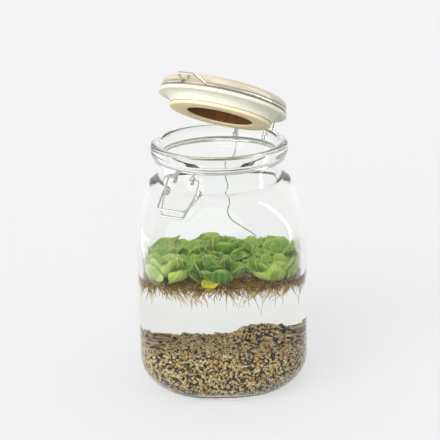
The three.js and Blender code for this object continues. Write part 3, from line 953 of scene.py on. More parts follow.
@dataclass
class Jar:
    """The moulded glass jar."""

    steps: int = 160
    kick: float = 0.6
    sharp: float = 60.0

    def outside(self) -> list[Pair]:
        """Outer profile: a foot ring round a raised bottom, the heel, the wall, the shoulder and the neck.

        Returns:
            Radius and height of each point, from the middle of the foot up.
        """
        s = SHAPE
        base = [(0, self.kick), (30, self.kick), (38, self.kick * 0.8), (43, self.kick * 0.3), (46, 0.05)]
        heel = arc((s.half - s.heel[0], s.heel[1]), s.heel, -90, 0, 20)
        wall = [(s.half, z) for z in (27, s.square_z, 40, 60, 80, 100, 114)]
        shoulder = arc((s.neck_radius, s.shoulder_z), (s.half - s.neck_radius, s.shoulder_height), 0, 90, 20)
        return [*base, *heel, *wall, *shoulder, (s.neck_radius, 162), (s.neck_radius, 172.4)]

    def rim(self) -> list[Pair]:
        """Profile of the bead.

        Returns:
            Radius and height of each point, from the collar over the neck wire round the lip to the throat.
        """
        top, out, bore = SHAPE.rim_z, SHAPE.rim_radius, SHAPE.bore_radius
        under = [(45.8, top - 10.7), (46.4, top - 10.1), (47.6, top - 9.8), (48.7, top - 9.5)]
        face = [(49.5, top - 8.9), (49.9, top - 8.2), (out, top - 7.2), (out, top - 3), (49.9, top - 2.1)]
        lip = [(49.5, top - 1.2), (48.8, top - 0.55), (47.8, top - 0.12), (46.8, top), (45.7, top - 0.2)]
        throat = [(44.4, top - 0.8), (43.3, top - 1.8), (42.5, top - 3.1), (42.1, top - 4.6)]
        return [*under, *face, *lip, *throat, (bore, top - 6.4)]

    def inside(self) -> list[Pair]:
        """Inner profile: the bore, the shoulder, the wall and the round corner at the floor.

        Returns:
            Radius and height of each point, from the bore down to the middle of the floor.
        """
        s = SHAPE
        out, up = s.inner_heel
        turn_in = (s.inner - s.bore_radius, s.shoulder_height - 1)
        shoulder = arc((s.bore_radius, s.shoulder_z - 1), turn_in, 90, 0, 20)
        wall = [(s.inner, z) for z in (112, 98, 80, 60, 40, s.square_z, 25)]
        heel = arc((s.inner - out, s.floor_z + up), (out, up), 0, -90, 16)
        return [(s.bore_radius, 166), *shoulder, *wall, *heel, (20, s.floor_z), (0, s.floor_z)]

    def build(self, glass: bpy.types.Material) -> None:
        """Spins the shell and squares its body up.

        Args:
            glass: its finish.
        """
        profile = [*self.outside(), *self.rim(), *self.inside()]
        shell = Workbench.spun("jar_moulded_glass", profile, self.steps)
        SHAPE.square_up(shell)
        Workbench.finished(shell, "jar", "glass", [glass], ["jar_glass"], self.sharp)


@dataclass
class Water:
    """The water, which fills the jar's inside and climbs the glass a little at its edge.

    It reaches a hair into the glass, so that light passes from one to the other with no air between them.
    """

    steps: int = 160
    into_glass: float = 0.12
    climb: float = 0.9
    climb_width: float = 2.6
    sharp: float = 50.0

    def profile(self) -> list[Pair]:
        """Profile from the floor up the wall and in over the surface.

        Returns:
            Radius and height of each point.
        """
        s = SHAPE
        wall = s.inner + self.into_glass
        out, up = s.inner_heel
        heel = arc((s.inner - out, s.floor_z + up), (out + self.into_glass, up + self.into_glass), -90, 0, 16)
        rise = [(wall, z) for z in (25, s.square_z, 40, 60, 80, s.water_z + self.climb)]
        curl = [
            (wall - self.climb_width * t, s.water_z + self.climb * (1 - t) ** 2.4)
            for t in (0.12, 0.25, 0.4, 0.6, 0.8, 1)
        ]
        flat = [(r, s.water_z) for r in (48, 32, 16, 0)]
        return [(0, s.floor_z - self.into_glass), *heel, *rise, *curl, *flat]

    def build(self, finish: bpy.types.Material) -> None:
        """Spins the water and squares it up to the jar.

        Args:
            finish: its material.
        """
        body = Workbench.spun("still_water", self.profile(), self.steps)
        SHAPE.square_up(body)
        Workbench.finished(body, "jar", "water", [finish], ["water"], self.sharp)


# -------------------------------------------------------------------------------- gravel


@dataclass
class GravelBed:
    """Fine river gravel, heaped to the front and in a mound right of the middle."""

    front_z: float = 39.0
    back_z: float = 22.0
    mound: tuple[float, float, float, float] = (24.0, 8.0, 14.0, 15.0)
    lump: Pair = (1.2, 15.0)
    top_grains: int = 5400
    wall_grains: int = 6000
    wall_top: float = 46.0
    loose_share: float = 0.08
    loose: Pair = (0.6, 1.5)
    bedded: Pair = (-1.2, 0.5)
    behind_glass: Pair = (0.7, 1.7)
    glass_gap: float = 0.25
    seed: int = 11
    edge_gap: float = 1.0
    shapes: int = 9
    cube: float = 1.25
    knocks: Pair = (0.62, 1.25)
    sizes: Pair = (0.75, 1.65)
    widths: Pair = (0.65, 0.95)
    thicknesses: Pair = (0.5, 0.85)
    core_floor: float = 1.2
    core_gap: float = 1.4
    core_sink: float = 1.1
    core_plateau: float = 60.0
    core_levels: int = 9
    core_rings: int = 34
    core_steps: int = 96

    def height(self, x: float, y: float) -> float:
        """The bed's surface: a slope to the back, the mound, and low heaps.

        Args:
            x: place to the right in millimetres.
            y: place to the back in millimetres.

        Returns:
            Height in millimetres.
        """
        inner = SHAPE.inner
        level = self.front_z + (self.back_z - self.front_z) * (y + inner) / (2 * inner)
        mx, my, rise, spread = self.mound
        away = ((x - mx) ** 2 + (y - my) ** 2) / (2 * spread**2)
        heap, spacing = self.lump
        turn = 2 * math.pi / (spacing * math.sqrt(2))
        heaps = math.sin(turn * (x + 3 * math.sin(y / 11))) * math.cos(turn * (y + 3 * math.sin(x / 13)))
        return level + rise * math.exp(-away) + heap * heaps

    def core(self, finish: bpy.types.Material) -> None:
        """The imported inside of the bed, a grain's width behind what shows.

        It is spun with a flat top, whose rings then sink to the bed's own surface.

        Args:
            finish: its material.
        """
        low = SHAPE.floor_z + self.core_floor
        levels = np.linspace(low, SHAPE.floor_z + SHAPE.inner_heel[1], self.core_levels)
        heel = [(SHAPE.inner_radius(z) - self.core_gap, float(z)) for z in levels]
        top = [(heel[-1][0] * k, self.core_plateau) for k in np.linspace(1, 0, self.core_rings)]
        body = Workbench.spun("gravel_packed_core", [(0, low), *heel, *top], self.core_steps)
        for v in body.data.vertices:
            on_top = v.co.z > (self.core_plateau - 1) * MM
            SHAPE.square_out(v, self.height(v.co.x / MM, v.co.y / MM) if on_top else v.co.z / MM)
            if on_top:
                v.co.z = (self.height(v.co.x / MM, v.co.y / MM) - self.core_sink) * MM
        Workbench.finished(body, "jar", "gravel", [finish], ["gravel_bed"])

    def stones(self) -> list[tuple[np.ndarray, np.ndarray]]:
        """A few crushed stones of unit size, each a cube with its corners knocked about.

        Returns:
            Each stone's points and its triangles.
        """
        made = []
        rng = np.random.default_rng(self.seed)
        for _ in range(self.shapes):
            Workbench.clear()
            bpy.ops.mesh.primitive_cube_add(size=self.cube)
            bpy.ops.object.mode_set(mode="EDIT")
            bpy.ops.mesh.quads_convert_to_tris()
            bpy.ops.object.mode_set(mode="OBJECT")
            obj = bpy.context.object
            points = np.array([v.co for v in obj.data.vertices])
            points = points * rng.uniform(*self.knocks, points.shape)
            faces = np.array([list(p.vertices) for p in obj.data.polygons])
            made.append((points, faces))
            bpy.data.objects.remove(obj)
        return made

    def spots(self, rng: random.Random) -> list[Point]:
        """Places of the grains, first over the surface and then behind the glass.

        Args:
            rng: source of the places.

        Returns:
            Each grain's middle in millimetres.
        """
        inner = SHAPE.inner
        found: list[Point] = []
        while len(found) < self.top_grains:
            x, y = rng.uniform(-inner, inner), rng.uniform(-inner, inner)
            level = self.height(x, y)
            if SHAPE.outline(x, y, level) < SHAPE.inner_radius(level) - self.edge_gap:
                # a few grains lie loose on the others, so that the skyline is ragged
                above = self.loose if rng.random() < self.loose_share else self.bedded
                found.append((x, y, level + rng.uniform(*above)))
        while len(found) < self.top_grains + self.wall_grains:
            angle = rng.uniform(-math.pi, math.pi)
            z = rng.uniform(SHAPE.floor_z + 0.6, self.wall_top)
            radius = (SHAPE.inner_radius(z) - rng.uniform(*self.behind_glass)) * SHAPE.stretch(angle, z)
            x, y = radius * math.cos(angle), radius * math.sin(angle)
            if z < self.height(x, y):
                found.append((x, y, z))
        return found

    def placed(self, shape: np.ndarray, spot: Point, rng: random.Random) -> np.ndarray:
        """One grain of its own size, flatness and turn.

        Args:
            shape: points of a stone of unit size.
            spot: the grain's middle in millimetres.
            rng: source of its size and turn.

        Returns:
            Its points in metres, none of them in the jar's floor.
        """
        smallest, largest = self.sizes
        size = smallest + (largest - smallest) * rng.random() ** 1.4
        squash = Matrix.Diagonal((1.0, rng.uniform(*self.widths), rng.uniform(*self.thicknesses))).to_4x4()
        turn = Matrix.Rotation(rng.uniform(0, 6.3), 4, Vector(rng.gauss(0, 1) for _ in range(3)).normalized())
        move = np.array((turn @ squash).to_3x3()) * size * MM
        points = shape @ move.T + np.array(spot) * MM
        points[:, 2] = np.maximum(points[:, 2], (SHAPE.floor_z + 0.05) * MM)
        return points

    def build(self, core: bpy.types.Material, families: dict[StoneFamily, bpy.types.Material]) -> None:
        """Scatters the grains, one piece for each kind of stone.

        Args:
            core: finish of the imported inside.
            families: each kind of stone and its finish.
        """
        self.core(core)
        rng = random.Random(self.seed)
        stones = self.stones()
        spots = self.spots(rng)
        kinds = rng.choices(list(families), [f.value[2] for f in families], k=len(spots))
        for family, finish in families.items():
            points, faces, tones = [], [], []
            count = 0
            for spot, kind in zip(spots, kinds):
                if kind is not family:
                    continue
                shape, sides = stones[rng.randrange(len(stones))]
                points.append(self.placed(shape, spot, rng))
                faces.append(sides + count)
                tones.append(np.full(len(shape), rng.random()))
                count += len(shape)
            name = "gravel_" + family.name.lower() + "_grains"
            marks = {"tone": np.concatenate(tones)}
            piece = Workbench.from_arrays(name, np.concatenate(points), np.concatenate(faces), marks)
            self.keep_inside(piece)
            Workbench.finished(piece, "jar", "gravel", [finish], sharp=None)

    def keep_inside(self, piece: bpy.types.Object) -> None:
        """Presses any corner that would cut the glass back to the glass.

        Args:
            piece: the grains.
        """
        for v in piece.data.vertices:
            x, y, z = v.co.x / MM, v.co.y / MM, v.co.z / MM
            limit = SHAPE.inner_radius(z) - self.glass_gap
            reach = SHAPE.outline(x, y, z)
            if reach > limit:
                v.co.x *= limit / reach
                v.co.y *= limit / reach


# -------------------------------------------------------------------------------- plants


@dataclass
class LeafForm:
    """How one blade grows from its rosette: angles in radians, sizes in millimetres.

    azimuth is its heading, lift its slope at the base and curl how much that slope grows by the tip. cup and
    twist bend it across. tone runs from dark to pale green, and age from green to yellow. base is its height
    over the water, and inner how far from the rosette's middle it starts.
    """

    azimuth: float
    length: float
    width: float
    lift: float
    curl: float
    cup: float
    twist: float
    tone: float
    age: float = 0.0
    base: float = 1.2
    inner: float = 1.6


@dataclass(frozen=True)
class Whorl:
    """One ring of blades: how many, how long and wide, how steep at each end, and how far out they grow."""

    count: int
    length: float
    half_width: float
    start: float
    end: float
    inner: float = 1.6


@dataclass
class FloatingPlants:
    """Nine rosettes of broad ribbed leaves that cover the water, each with a tuft of roots."""

    spacing: float = 37.5
    heights: tuple[float, ...] = (19.0, 18.5, 16.0, 14.0, 19.0, 12.5, 2.0, 5.5, 2.0)
    full_height: float = 18.0
    shifts: tuple[Pair, ...] = (
        (-4.0, -1.0),
        (-3.0, -4.0),
        (1.5, -2.0),
        (-6.0, -1.0),
        (4.0, 1.0),
        (6.0, -3.0),
        (-3.0, -11.0),
        (-5.0, -7.0),
        (2.0, -13.0),
    )
    whorls: tuple[Whorl, ...] = (
        Whorl(5, 19.0, 10.4, 16, 60, 8.0),
        Whorl(6, 22.5, 10.6, 4, 60),
        Whorl(5, 19.5, 10.2, 36, 88),
        Whorl(3, 14.0, 8.0, 60, 102),
    )
    offsets: tuple[tuple[int, float, float], ...] = (
        (0, -22.0, -19.0),
        (1, -9.0, -20.0),
        (1, 14.0, -19.0),
        (3, -19.0, 14.0),
        (5, 26.0, -18.0),
        (5, 22.0, 16.0),
        (0, -55.0, -22.0),
        (2, 55.0, -20.0),
    )
    offset_blades: int = 5
    # the side rosettes are drawn paler than the middle column: partly the leaves' own tone, partly painted
    # reflection of the glass's pale veil over the sides
    green: tuple[int, ...] = (1, 4, 7)
    green_tones: Pair = (-0.3, 0.5)
    side_tones_with_painted_veil: Pair = (0.3, 1.2)
    old_leaf: LeafForm = field(
        default_factory=lambda: LeafForm(
            azimuth=-1.98,
            length=20.0,
            width=7.6,
            lift=math.radians(24),
            curl=math.radians(-98),
            cup=0.3,
            twist=0.2,
            tone=0.6,
            age=0.95,
            base=3.6,
        )
    )
    old_leaf_on: int = 1
    back_row: int = 6
    grid: tuple[int, int] = (16, 14)
    base_width: float = 0.17
    widest: float = 0.66
    tip_narrowing: float = 0.72
    notch: float = 0.03
    ribs: float = 4.5
    rib_height: float = 0.22
    ruffle: float = 0.75
    dent: float = 0.7
    midrib_steps: int = 24
    thickness: float = 0.5
    pale_back: float = 0.7
    glass_gap: float = 0.9
    press: float = 4.0
    mat: tuple[int, Pair] = (190, (7.0, 16.5))
    trailers: tuple[int, Pair] = (36, (13.0, 28.0))
    root_radius: float = 0.45
    root_taper: float = 0.62
    root_joints: int = 9
    crown_radius: float = 18.0
    # the fibres are painted darkest at the crown, as shade under the leaves, and turn golden over
    # golden_depth below it
    crown_depth: float = 1.0
    golden_depth: float = 14.0
    golden: float = 0.55
    place_seed: int = 70
    leaf_seed: int = 200
    root_seed: int = 900
    places: list[tuple[float, float, float, float]] = field(default_factory=list)

    def __post_init__(self) -> None:
        """Sets out the rosettes, three to a row from the front, crowded a little off their even spacing."""
        rng = random.Random(self.place_seed)
        for index, (height, (dx, dy)) in enumerate(zip(self.heights, self.shifts)):
            row, column = divmod(index, 3)
            x, y = (column - 1) * self.spacing + dx, (row - 1) * self.spacing + dy
            self.places.append((x, y, height, rng.uniform(0, math.pi)))

    def blade(self, home: Sequence[float], form: LeafForm) -> np.ndarray:
        """Bends the flat leaf pattern into one blade.

        Args:
            home: the rosette's centre, which may be followed by its height and turn.
            form: the blade's own shape.

        Returns:
            The blade's vertices in millimetres, row by row from its base.
        """
        columns, rows = self.grid
        u = np.linspace(-1, 1, columns + 1)[None, :]
        s = np.linspace(0, 1, rows + 1)[:, None]
        # the tip is rounded off, with a small notch at its middle
        along = s * (1 - 0.2 * np.abs(u) ** 2.6 * s) - self.notch * np.exp(-((u / 0.2) ** 2)) * s**6
        grow = np.clip(s / self.widest, 0, 1)
        half = self.base_width + (1 - self.base_width) * grow * grow * (3 - 2 * grow)
        tip = np.clip((s - self.widest) / (1 - self.widest), 0, 1)
        half = half * np.sqrt(np.clip(1 - self.tip_narrowing * tip**2.2, 0.05, 1)) * form.width
        # the midrib's slope is summed into its distance out and its height
        steps = self.midrib_steps
        t = np.linspace(0, 1, steps + 1)
        slope = form.lift + form.curl * t
        middle = (slope[1:] + slope[:-1]) / 2
        run = np.concatenate([[0], np.cumsum(np.cos(middle) / steps)]) * form.length
        climb = np.concatenate([[0], np.cumsum(np.sin(middle) / steps)]) * form.length
        out = form.inner + np.interp(along, t, run)
        up = np.interp(along, t, climb)
        ridge = self.rib_height * np.cos(u * math.pi * self.ribs) * np.clip(half / 6, 0, 1)
        ruffle = self.ruffle * np.abs(u) ** 3 * np.sin(9 * along + 5 * form.twist) * along
        dent = self.dent * np.sin(2.6 * u + 4 * form.twist) * np.sin(3.4 * along + 7 * form.twist) * along
        bend = form.cup * half * u**2 * 0.42 + ridge + ruffle + dent
        sideways = u * half * (1 - 0.16 * form.cup * u**2)
        lean = form.twist * 0.22 * u * half
        elevation = form.lift + form.curl * along
        outward = out - np.sin(elevation) * (bend + lean)
        height = up + np.cos(elevation) * (bend + lean)
        ca, sa = math.cos(form.azimuth), math.sin(form.azimuth)
        x = home[0] + outward * ca - sideways * sa
        y = home[1] + outward * sa + sideways * ca
        z = SHAPE.water_z + form.base + height
        return np.stack([x, y, z], -1).reshape(-1, 3)

    def inside_glass(self, points: np.ndarray, climb: float = 0.0) -> np.ndarray:
        """Presses what would reach through the wall softly against it.

        Args:
            points: places in millimetres, changed in place.
            climb: how far up the wall each millimetre that is pressed back goes.

        Returns:
            The same points.
        """
        n = SHAPE.squareness
        reach = (np.abs(points[:, 0]) ** n + np.abs(points[:, 1]) ** n) ** (1 / n)
        soft = SHAPE.inner - self.glass_gap - self.press
        eased = soft + self.press * (1 - np.exp(-(reach - soft) / self.press))
        pressed = np.where(reach > soft, eased, reach)
        points[:, :2] *= (pressed / np.maximum(reach, 1e-6))[:, None]
        points[:, 2] += climb * (reach - pressed)
        return points

    def whorl_forms(self, home: Sequence[float], tones: Pair, rng: random.Random) -> list[LeafForm]:
        """The blades of one rosette's own whorls, from the outermost to the innermost.

        Args:
            home: the rosette's centre, height and turn.
            tones: darkest and palest tone of its blades.
            rng: source of each blade's own shape.

        Returns:
            One form for each blade.
        """
        _, _, height, spin = home
        tall = height / self.full_height
        made = []
        for ring, whorl in enumerate(self.whorls):
            for i in range(whorl.count):
                angle = spin + 2.4 * ring + 2 * math.pi * (i + 0.36 * rng.uniform(-1, 1)) / whorl.count
                start = math.radians(whorl.start * tall + rng.uniform(-12, 12) * tall)
                end = math.radians(whorl.end * (0.15 + 0.85 * tall) + rng.uniform(-16, 16) * tall)
                form = LeafForm(
                    azimuth=angle,
                    length=whorl.length * rng.uniform(0.84, 1.06) * (0.75 + 0.25 * tall),
                    width=whorl.half_width * rng.uniform(0.85, 1.15),
                    lift=start,
                    curl=end - start,
                    cup=rng.uniform(0.2, 0.9),
                    twist=rng.uniform(-1, 1),
                    tone=rng.uniform(*tones),
                    age=0.2 * rng.random() ** 4,
                    base=2.0 if ring > 1 else 0.8,
                    inner=whorl.inner,
                )
                made.append(form)
        return made

    def offset_forms(self, tones: Pair, rng: random.Random) -> list[LeafForm]:
        """The blades of one small offset that crowds in between the rosettes.

        Args:
            tones: darkest and palest tone of its blades.
            rng: source of each blade's own shape.

        Returns:
            One form for each blade.
        """
        made = []
        for i in range(self.offset_blades):
            start, end = math.radians(rng.uniform(10, 40)), math.radians(rng.uniform(55, 85))
            angle = 2 * math.pi * (i + 0.3 * rng.random()) / self.offset_blades
            length = rng.uniform(12, 15)
            form = LeafForm(
                azimuth=angle,
                length=length,
                width=0.52 * length,
                lift=start,
                curl=end - start,
                cup=0.3,
                twist=rng.uniform(-1, 1),
                tone=rng.uniform(*tones),
            )
            made.append(form)
        return made

    def forms(self, index: int, rng: random.Random) -> list[tuple[Sequence[float], LeafForm]]:
        """All the blades of one piece: a rosette, the offsets that crowd round it, and the old leaf.

        Args:
            index: the rosette's number.
            rng: source of each blade's own shape.

        Returns:
            Where each blade grows, and its form.
        """
        home = self.places[index]
        # side rosettes take paler tones, partly painted reflection of the glass's veil
        tones = self.green_tones if index in self.green else self.side_tones_with_painted_veil
        made = [(home, form) for form in self.whorl_forms(home, tones, rng)]
        for owner, x, y in self.offsets:
            if owner == index:
                made += [((x, y), form) for form in self.offset_forms(tones, rng)]
        if index == self.old_leaf_on:
            # one old yellow leaf droops against the front glass
            made.append((home, self.old_leaf))
        return made

    def leaves(self, index: int, finish: bpy.types.Material) -> None:
        """Copies the leaf pattern into every blade of one rosette and gives them their thickness.

        Args:
            index: the rosette's number.
            finish: the leaves' material.
        """
        rng = random.Random(self.leaf_seed + index)
        columns, rows = self.grid
        first = np.arange((columns + 1) * (rows + 1)).reshape(rows + 1, columns + 1)
        quads = np.stack([first[:-1, :-1], first[:-1, 1:], first[1:, 1:], first[1:, :-1]], -1).reshape(-1, 4)
        u, s = np.meshgrid(np.linspace(0, 1, columns + 1), np.linspace(0, 1, rows + 1))
        flat = np.stack([u, s], -1).reshape(-1, 2)
        # the low leaves at the back don't climb the glass
        climb = 0.4 if index < self.back_row else 0.0
        points, faces, uv, tones, ages = [], [], [], [], []
        for i, (home, form) in enumerate(self.forms(index, rng)):
            points.append(self.inside_glass(self.blade(home, form), climb) * MM)
            faces.append(quads + i * len(flat))
            uv.append(flat)
            tones.append(np.full(len(flat), form.tone))
            ages.append(np.full(len(flat), form.age))
        piece = Workbench.from_arrays(
            f"rosette_{index + 1}_foliage",
            np.concatenate(points),
            np.concatenate(faces),
            {"tone": np.concatenate(tones), "age": np.concatenate(ages)},
            np.concatenate(uv),
        )
        upper = len(piece.data.vertices)
        Workbench.with_modifier(piece, "SOLIDIFY", thickness=self.thickness * MM, offset=0.0)
        backs = np.arange(len(piece.data.vertices)) >= upper
        Workbench.mark(piece, "under", self.pale_back * backs.astype(np.float32))
        Workbench.finished(piece, "jar", "leaves", [finish], [f"rosette_{index + 1}_leaves"], 60)

    def fibre(self, home: Pair, rng: random.Random, long: float, flat: float) -> np.ndarray:
        """One root's path.

        Args:
            home: the rosette's centre in millimetres.
            rng: source of its own shape.
            long: its length in millimetres.
            flat: how level it starts, between 0 and 1.

        Returns:
            Its points in millimetres, from the crown to the tip.
        """
        angle = rng.uniform(0, 2 * math.pi)
        start = self.crown_radius * math.sqrt(rng.random())
        heading = angle + rng.uniform(-0.5, 0.5)
        slope = rng.uniform(0.5, 1.0) * flat
        drop = math.radians(rng.uniform(50, 95))
        bow, phase = rng.uniform(-0.9, 0.9), rng.uniform(0, 6.3)
        x = home[0] + start * math.cos(angle)
        y = home[1] + start * math.sin(angle)
        z = SHAPE.water_z + rng.uniform(-1.2, 0.8)
        line = []
        lengths = self.root_joints - 1
        for k in range(self.root_joints):
            line.append((x, y, z))
            t = min((k + 0.5) / lengths, 1.0)
            # a root leaves the crown nearly level, droops, and hooks at its tip
            down = drop * (1 - slope * (1 - t) ** 0.8) - 0.9 * abs(bow) * t**3
            turn = heading + 1.3 * bow * t + 0.6 * math.sin(5 * t + phase)
            x += long / lengths * math.cos(down) * math.cos(turn)
            y += long / lengths * math.cos(down) * math.sin(turn)
            z -= long / lengths * math.sin(down)
        return self.inside_glass(np.array(line))

    def roots(self, index: int, finish: bpy.types.Material) -> None:
        """A dense mat of short roots under the rosette, with longer ones that trail below it.

        Args:
            index: the rosette's number.
            finish: the roots' material.
        """
        rng = random.Random(self.root_seed + index)
        x0, y0, _, _ = self.places[index]
        tufts = []
        kinds = (("mat", self.mat, 1.0), ("trailers", self.trailers, 0.85))
        for kind, (count, (shortest, longest)), flat in kinds:
            paths = []
            for _ in range(count):
                long = shortest + (longest - shortest) * rng.random() ** 1.5
                line = self.fibre((x0, y0), rng, long, flat)
                paths.append(([Vector(p) * MM for p in line.tolist()], False))
            tufts.append(Workbench.wire(f"root_{kind}", paths, self.root_radius, self.root_taper))
        tuft = Workbench.joined(f"rosette_{index + 1}_root_tuft", tufts)
        # marks each fibre's drop below the crown, so that the material paints the top of the tuft dark as
        # shade
        levels = np.array([v.co.z for v in tuft.data.vertices]) / MM
        depths = (SHAPE.water_z - self.crown_depth - levels) / self.golden_depth
        Workbench.mark(tuft, "depth", np.clip(depths, 0, 1) * self.golden)
        Workbench.finished(tuft, "jar", "roots", [finish], [f"rosette_{index + 1}_roots"], 180)

    def build(self, leaf: bpy.types.Material, root: bpy.types.Material) -> None:
        """Builds the nine rosettes and their roots.

        Args:
            leaf: finish of the leaves.
            root: finish of the roots.
        """
        for index in range(len(self.places)):
            self.leaves(index, leaf)
            self.roots(index, root)


# -------------------------------------------------------------------------------- wires and lid


@dataclass
class Wirework:
    """The bent stainless wires: neck ring, latch lever, bail and the lid's own wire.

    A point is given as its distance from the jar's axis, its place along the hinge line and its height. A
    gauge is the wire's radius, and a bend is how far from a corner the wire starts to curve.
    """

    ring_radius: float = 47.35
    ring_z: float = 171.8
    ring_gauge: float = 1.1
    eyelet: tuple[float, float, float, float] = (50.2, 167.2, 7.15, 2.4)
    eyelet_gauge: float = 0.9
    hinge_eye: float = 2.2
    hinge_gauge: float = 0.95
    arch_foot: Point = (0.6, 0.0, 2.2)
    arch_shoulder: Point = (1.4, 4.5, 4.6)
    arch_top: Pair = (2.0, 6.0)
    tail_gauge: float = 0.53
    tail: tuple[Point, ...] = (
        (11.6, 54.4, 158.0),
        (4.6, 57.6, 150.0),
        (6.2, 64.0, 132.0),
        (4.2, 64.8, 125.0),
        (6.6, 65.0, 117.5),
        (5.2, 65.2, 111.0),
        (8.0, 65.1, 104.0),
        (16.5, 64.9, 97.5),
        (27.0, 64.4, 90.5),
        (33.0, 63.8, 84.0),
    )
    lever_pin: float = 4.6
    lever_side: float = 13.05
    lever_end: Point = (67.6, 8.8, 144.2)
    lever_gauge: float = 0.85
    lever_bend: float = 2.4
    coil: tuple[float, float, float] = (51.6, 157.6, 2.5)
    coil_gauge: float = 0.7
    coil_pitch: float = 0.45
    coil_turns: int = 2
    below_coil: Pair = (3.1, 1.7)
    bail_pin: Pair = (-1.4, 3.1)
    bail_end: Point = (69.2, 11.0, 149.6)
    bail_gauge: float = 0.75
    bail_bend: float = 2.6
    lid_ring: Pair = (46.3, 189.0)
    lid_gauge: float = 0.93
    lid_bend: float = 2.2
    lid_pin: Pair = (-2.3, 2.6)
    nose: Pair = (13.0, 3.0)
    nose_root: float = 9.7
    nose_tip: float = 6.6

    @staticmethod
    def rounded(corners: Sequence[Vector], bend: float, steps: int = 7) -> list[Vector]:
        """Rounds the corners of a bent wire.

        Args:
            corners: the path's corners in metres.
            bend: how far from each corner its curve starts, in millimetres.
            steps: number of points on each curve.

        Returns:
            The smoothed path.
        """
        points = [corners[0]]
        for before, corner, after in zip(corners, corners[1:], corners[2:]):
            reach = min(bend * MM, (before - corner).length / 2.2, (after - corner).length / 2.2)
            start = corner + (before - corner).normalized() * reach
            end = corner + (after - corner).normalized() * reach
            for i in range(steps + 1):
                t = i / steps
                points.append(start * (1 - t) ** 2 + corner * 2 * t * (1 - t) + end * t * t)
        return [*points, corners[-1]]

    @staticmethod
    def smooth(points: Sequence[Vector], steps: int = 8) -> list[Vector]:
        """A soft curve through all the given points.

        Args:
            points: the points in metres.
            steps: number of steps from each to the next.

        Returns:
            The curve's points.
        """
        whole = [points[0] * 2 - points[1], *points, points[-1] * 2 - points[-2]]
        made = []
        for a, b, c, d in zip(whole, whole[1:], whole[2:], whole[3:]):
            for i in range(steps):
                t = i / steps
                square, cube = a * 2 - b * 5 + c * 4 - d, b * 3 - a - c * 3 + d
                made.append(((b * 2) + (c - a) * t + square * t**2 + cube * t**3) / 2)
        return [*made, points[-1]]

    @staticmethod
    def loop(
        place: Callable[[float, float, float], Vector], out: float, side: float, z: float, radius: float
    ) -> list[Vector]:
        """Points of a level-axled loop, such as an eyelet."""
        turns = [2 * math.pi * i / 28 for i in range(28)]
        return [place(out + radius * math.cos(a), side, z + radius * math.sin(a)) for a in turns]

    def two_legged(self, leg: Sequence[Point], bend: float) -> list[Vector]:
        """A wire on the latch side that is alike on its left and right.

        Args:
            leg: the corners of its right half, from its pin to the cross wire.
            bend: how far from each corner its curve starts.

        Returns:
            The whole wire's path, from the left pin to the right one.
        """
        left = [LATCH.front(out, -side, z) for out, side, z in leg]
        right = [LATCH.front(out, side, z) for out, side, z in leg]
        return self.rounded([*left, *reversed(right)], bend)

    def ring_back(self, side: float) -> float:
        """How far from the jar's axis the neck ring is, at a place along the hinge line."""
        return math.sqrt(self.ring_radius**2 - side**2)

    def eyelets(self) -> bpy.types.Object:
        """The two eyelets that carry the latch lever, each with its stem up to the ring.

        Returns:
            One mesh of both.
        """
        reach, eye_z, eye_side, eye_radius = self.eyelet
        paths = []
        for side in (-eye_side, eye_side):
            ring = LATCH.front(self.ring_back(side), side, self.ring_z)
            paths.append((self.loop(LATCH.front, reach, side, eye_z, eye_radius), True))
            paths.append(([ring, LATCH.front(reach, side, eye_z + eye_radius)], False))
        return Workbench.wire("eyelets", paths, self.eyelet_gauge)

    def hinge(self) -> bpy.types.Object:
        """The two hinge loops with their stems, and the arch between them.

        Returns:
            One mesh of them all.
        """
        out, z, eye = LATCH.hinge_out, LATCH.hinge_z, self.hinge_eye
        paths = []
        for side in LATCH.hinge_loops:
            ring = LATCH.back(self.ring_back(side), side, self.ring_z)
            paths.append((self.loop(LATCH.back, out, side, z, eye), True))
            paths.append(([ring, LATCH.back(out - eye, side, z - 0.6)], False))
        left, right = LATCH.hinge_loops
        foot_out, _, foot_up = self.arch_foot
        bow_out, bow_in, bow_up = self.arch_shoulder
        top_out, top_up = self.arch_top
        arch = [
            LATCH.back(out + foot_out, left, z + foot_up),
            LATCH.back(out + bow_out, left + bow_in, z + bow_up),
            LATCH.back(out + top_out, (left + right) / 2, z + top_up),
            LATCH.back(out + bow_out, right - bow_in, z + bow_up),
            LATCH.back(out + foot_out, right, z + foot_up),
        ]
        paths.append((self.smooth(arch), False))
        return Workbench.wire("hinge_loops", paths, self.hinge_gauge)

    def neck(self, steel: bpy.types.Material) -> None:
        """The ring under the bead with its latch eyelets, hinge loops, arch and hanging tail.

        Args:
            steel: its finish.
        """
        Workbench.clear()
        bpy.ops.mesh.primitive_torus_add(
            major_radius=self.ring_radius * MM,
            minor_radius=self.ring_gauge * MM,
            major_segments=120,
            minor_segments=12,
            location=(0, 0, self.ring_z * MM),
        )
        ring = bpy.context.object
        hook = LATCH.back(LATCH.hinge_out, LATCH.hinge_loops[0], LATCH.hinge_z - self.hinge_eye)
        tail = self.smooth([hook, *(Vector(p) * MM for p in self.tail)])
        hanging = Workbench.wire("hanging_tail", [(tail, False)], self.tail_gauge)
        whole = Workbench.joined("neck_ring_wire", [ring, self.eyelets(), self.hinge(), hanging])
        Workbench.finished(whole, "jar", "steel", [steel], ["neck_wire"], 180)

    def winding(self, turn: int) -> list[Vector]:
        """The coil wound into one leg of the lever.

        Args:
            turn: -1 on the left and 1 on the right.

        Returns:
            The coil's path.
        """
        out, z, radius = self.coil
        steps = 24 * self.coil_turns
        path = []
        for i in range(steps + 1):
            angle = 2 * math.pi * self.coil_turns * i / steps
            side = turn * (self.lever_side - self.coil_pitch + 2 * self.coil_pitch * i / steps)
            path.append(LATCH.front(out + radius * math.cos(angle), side, z + radius * math.sin(angle)))
        return path

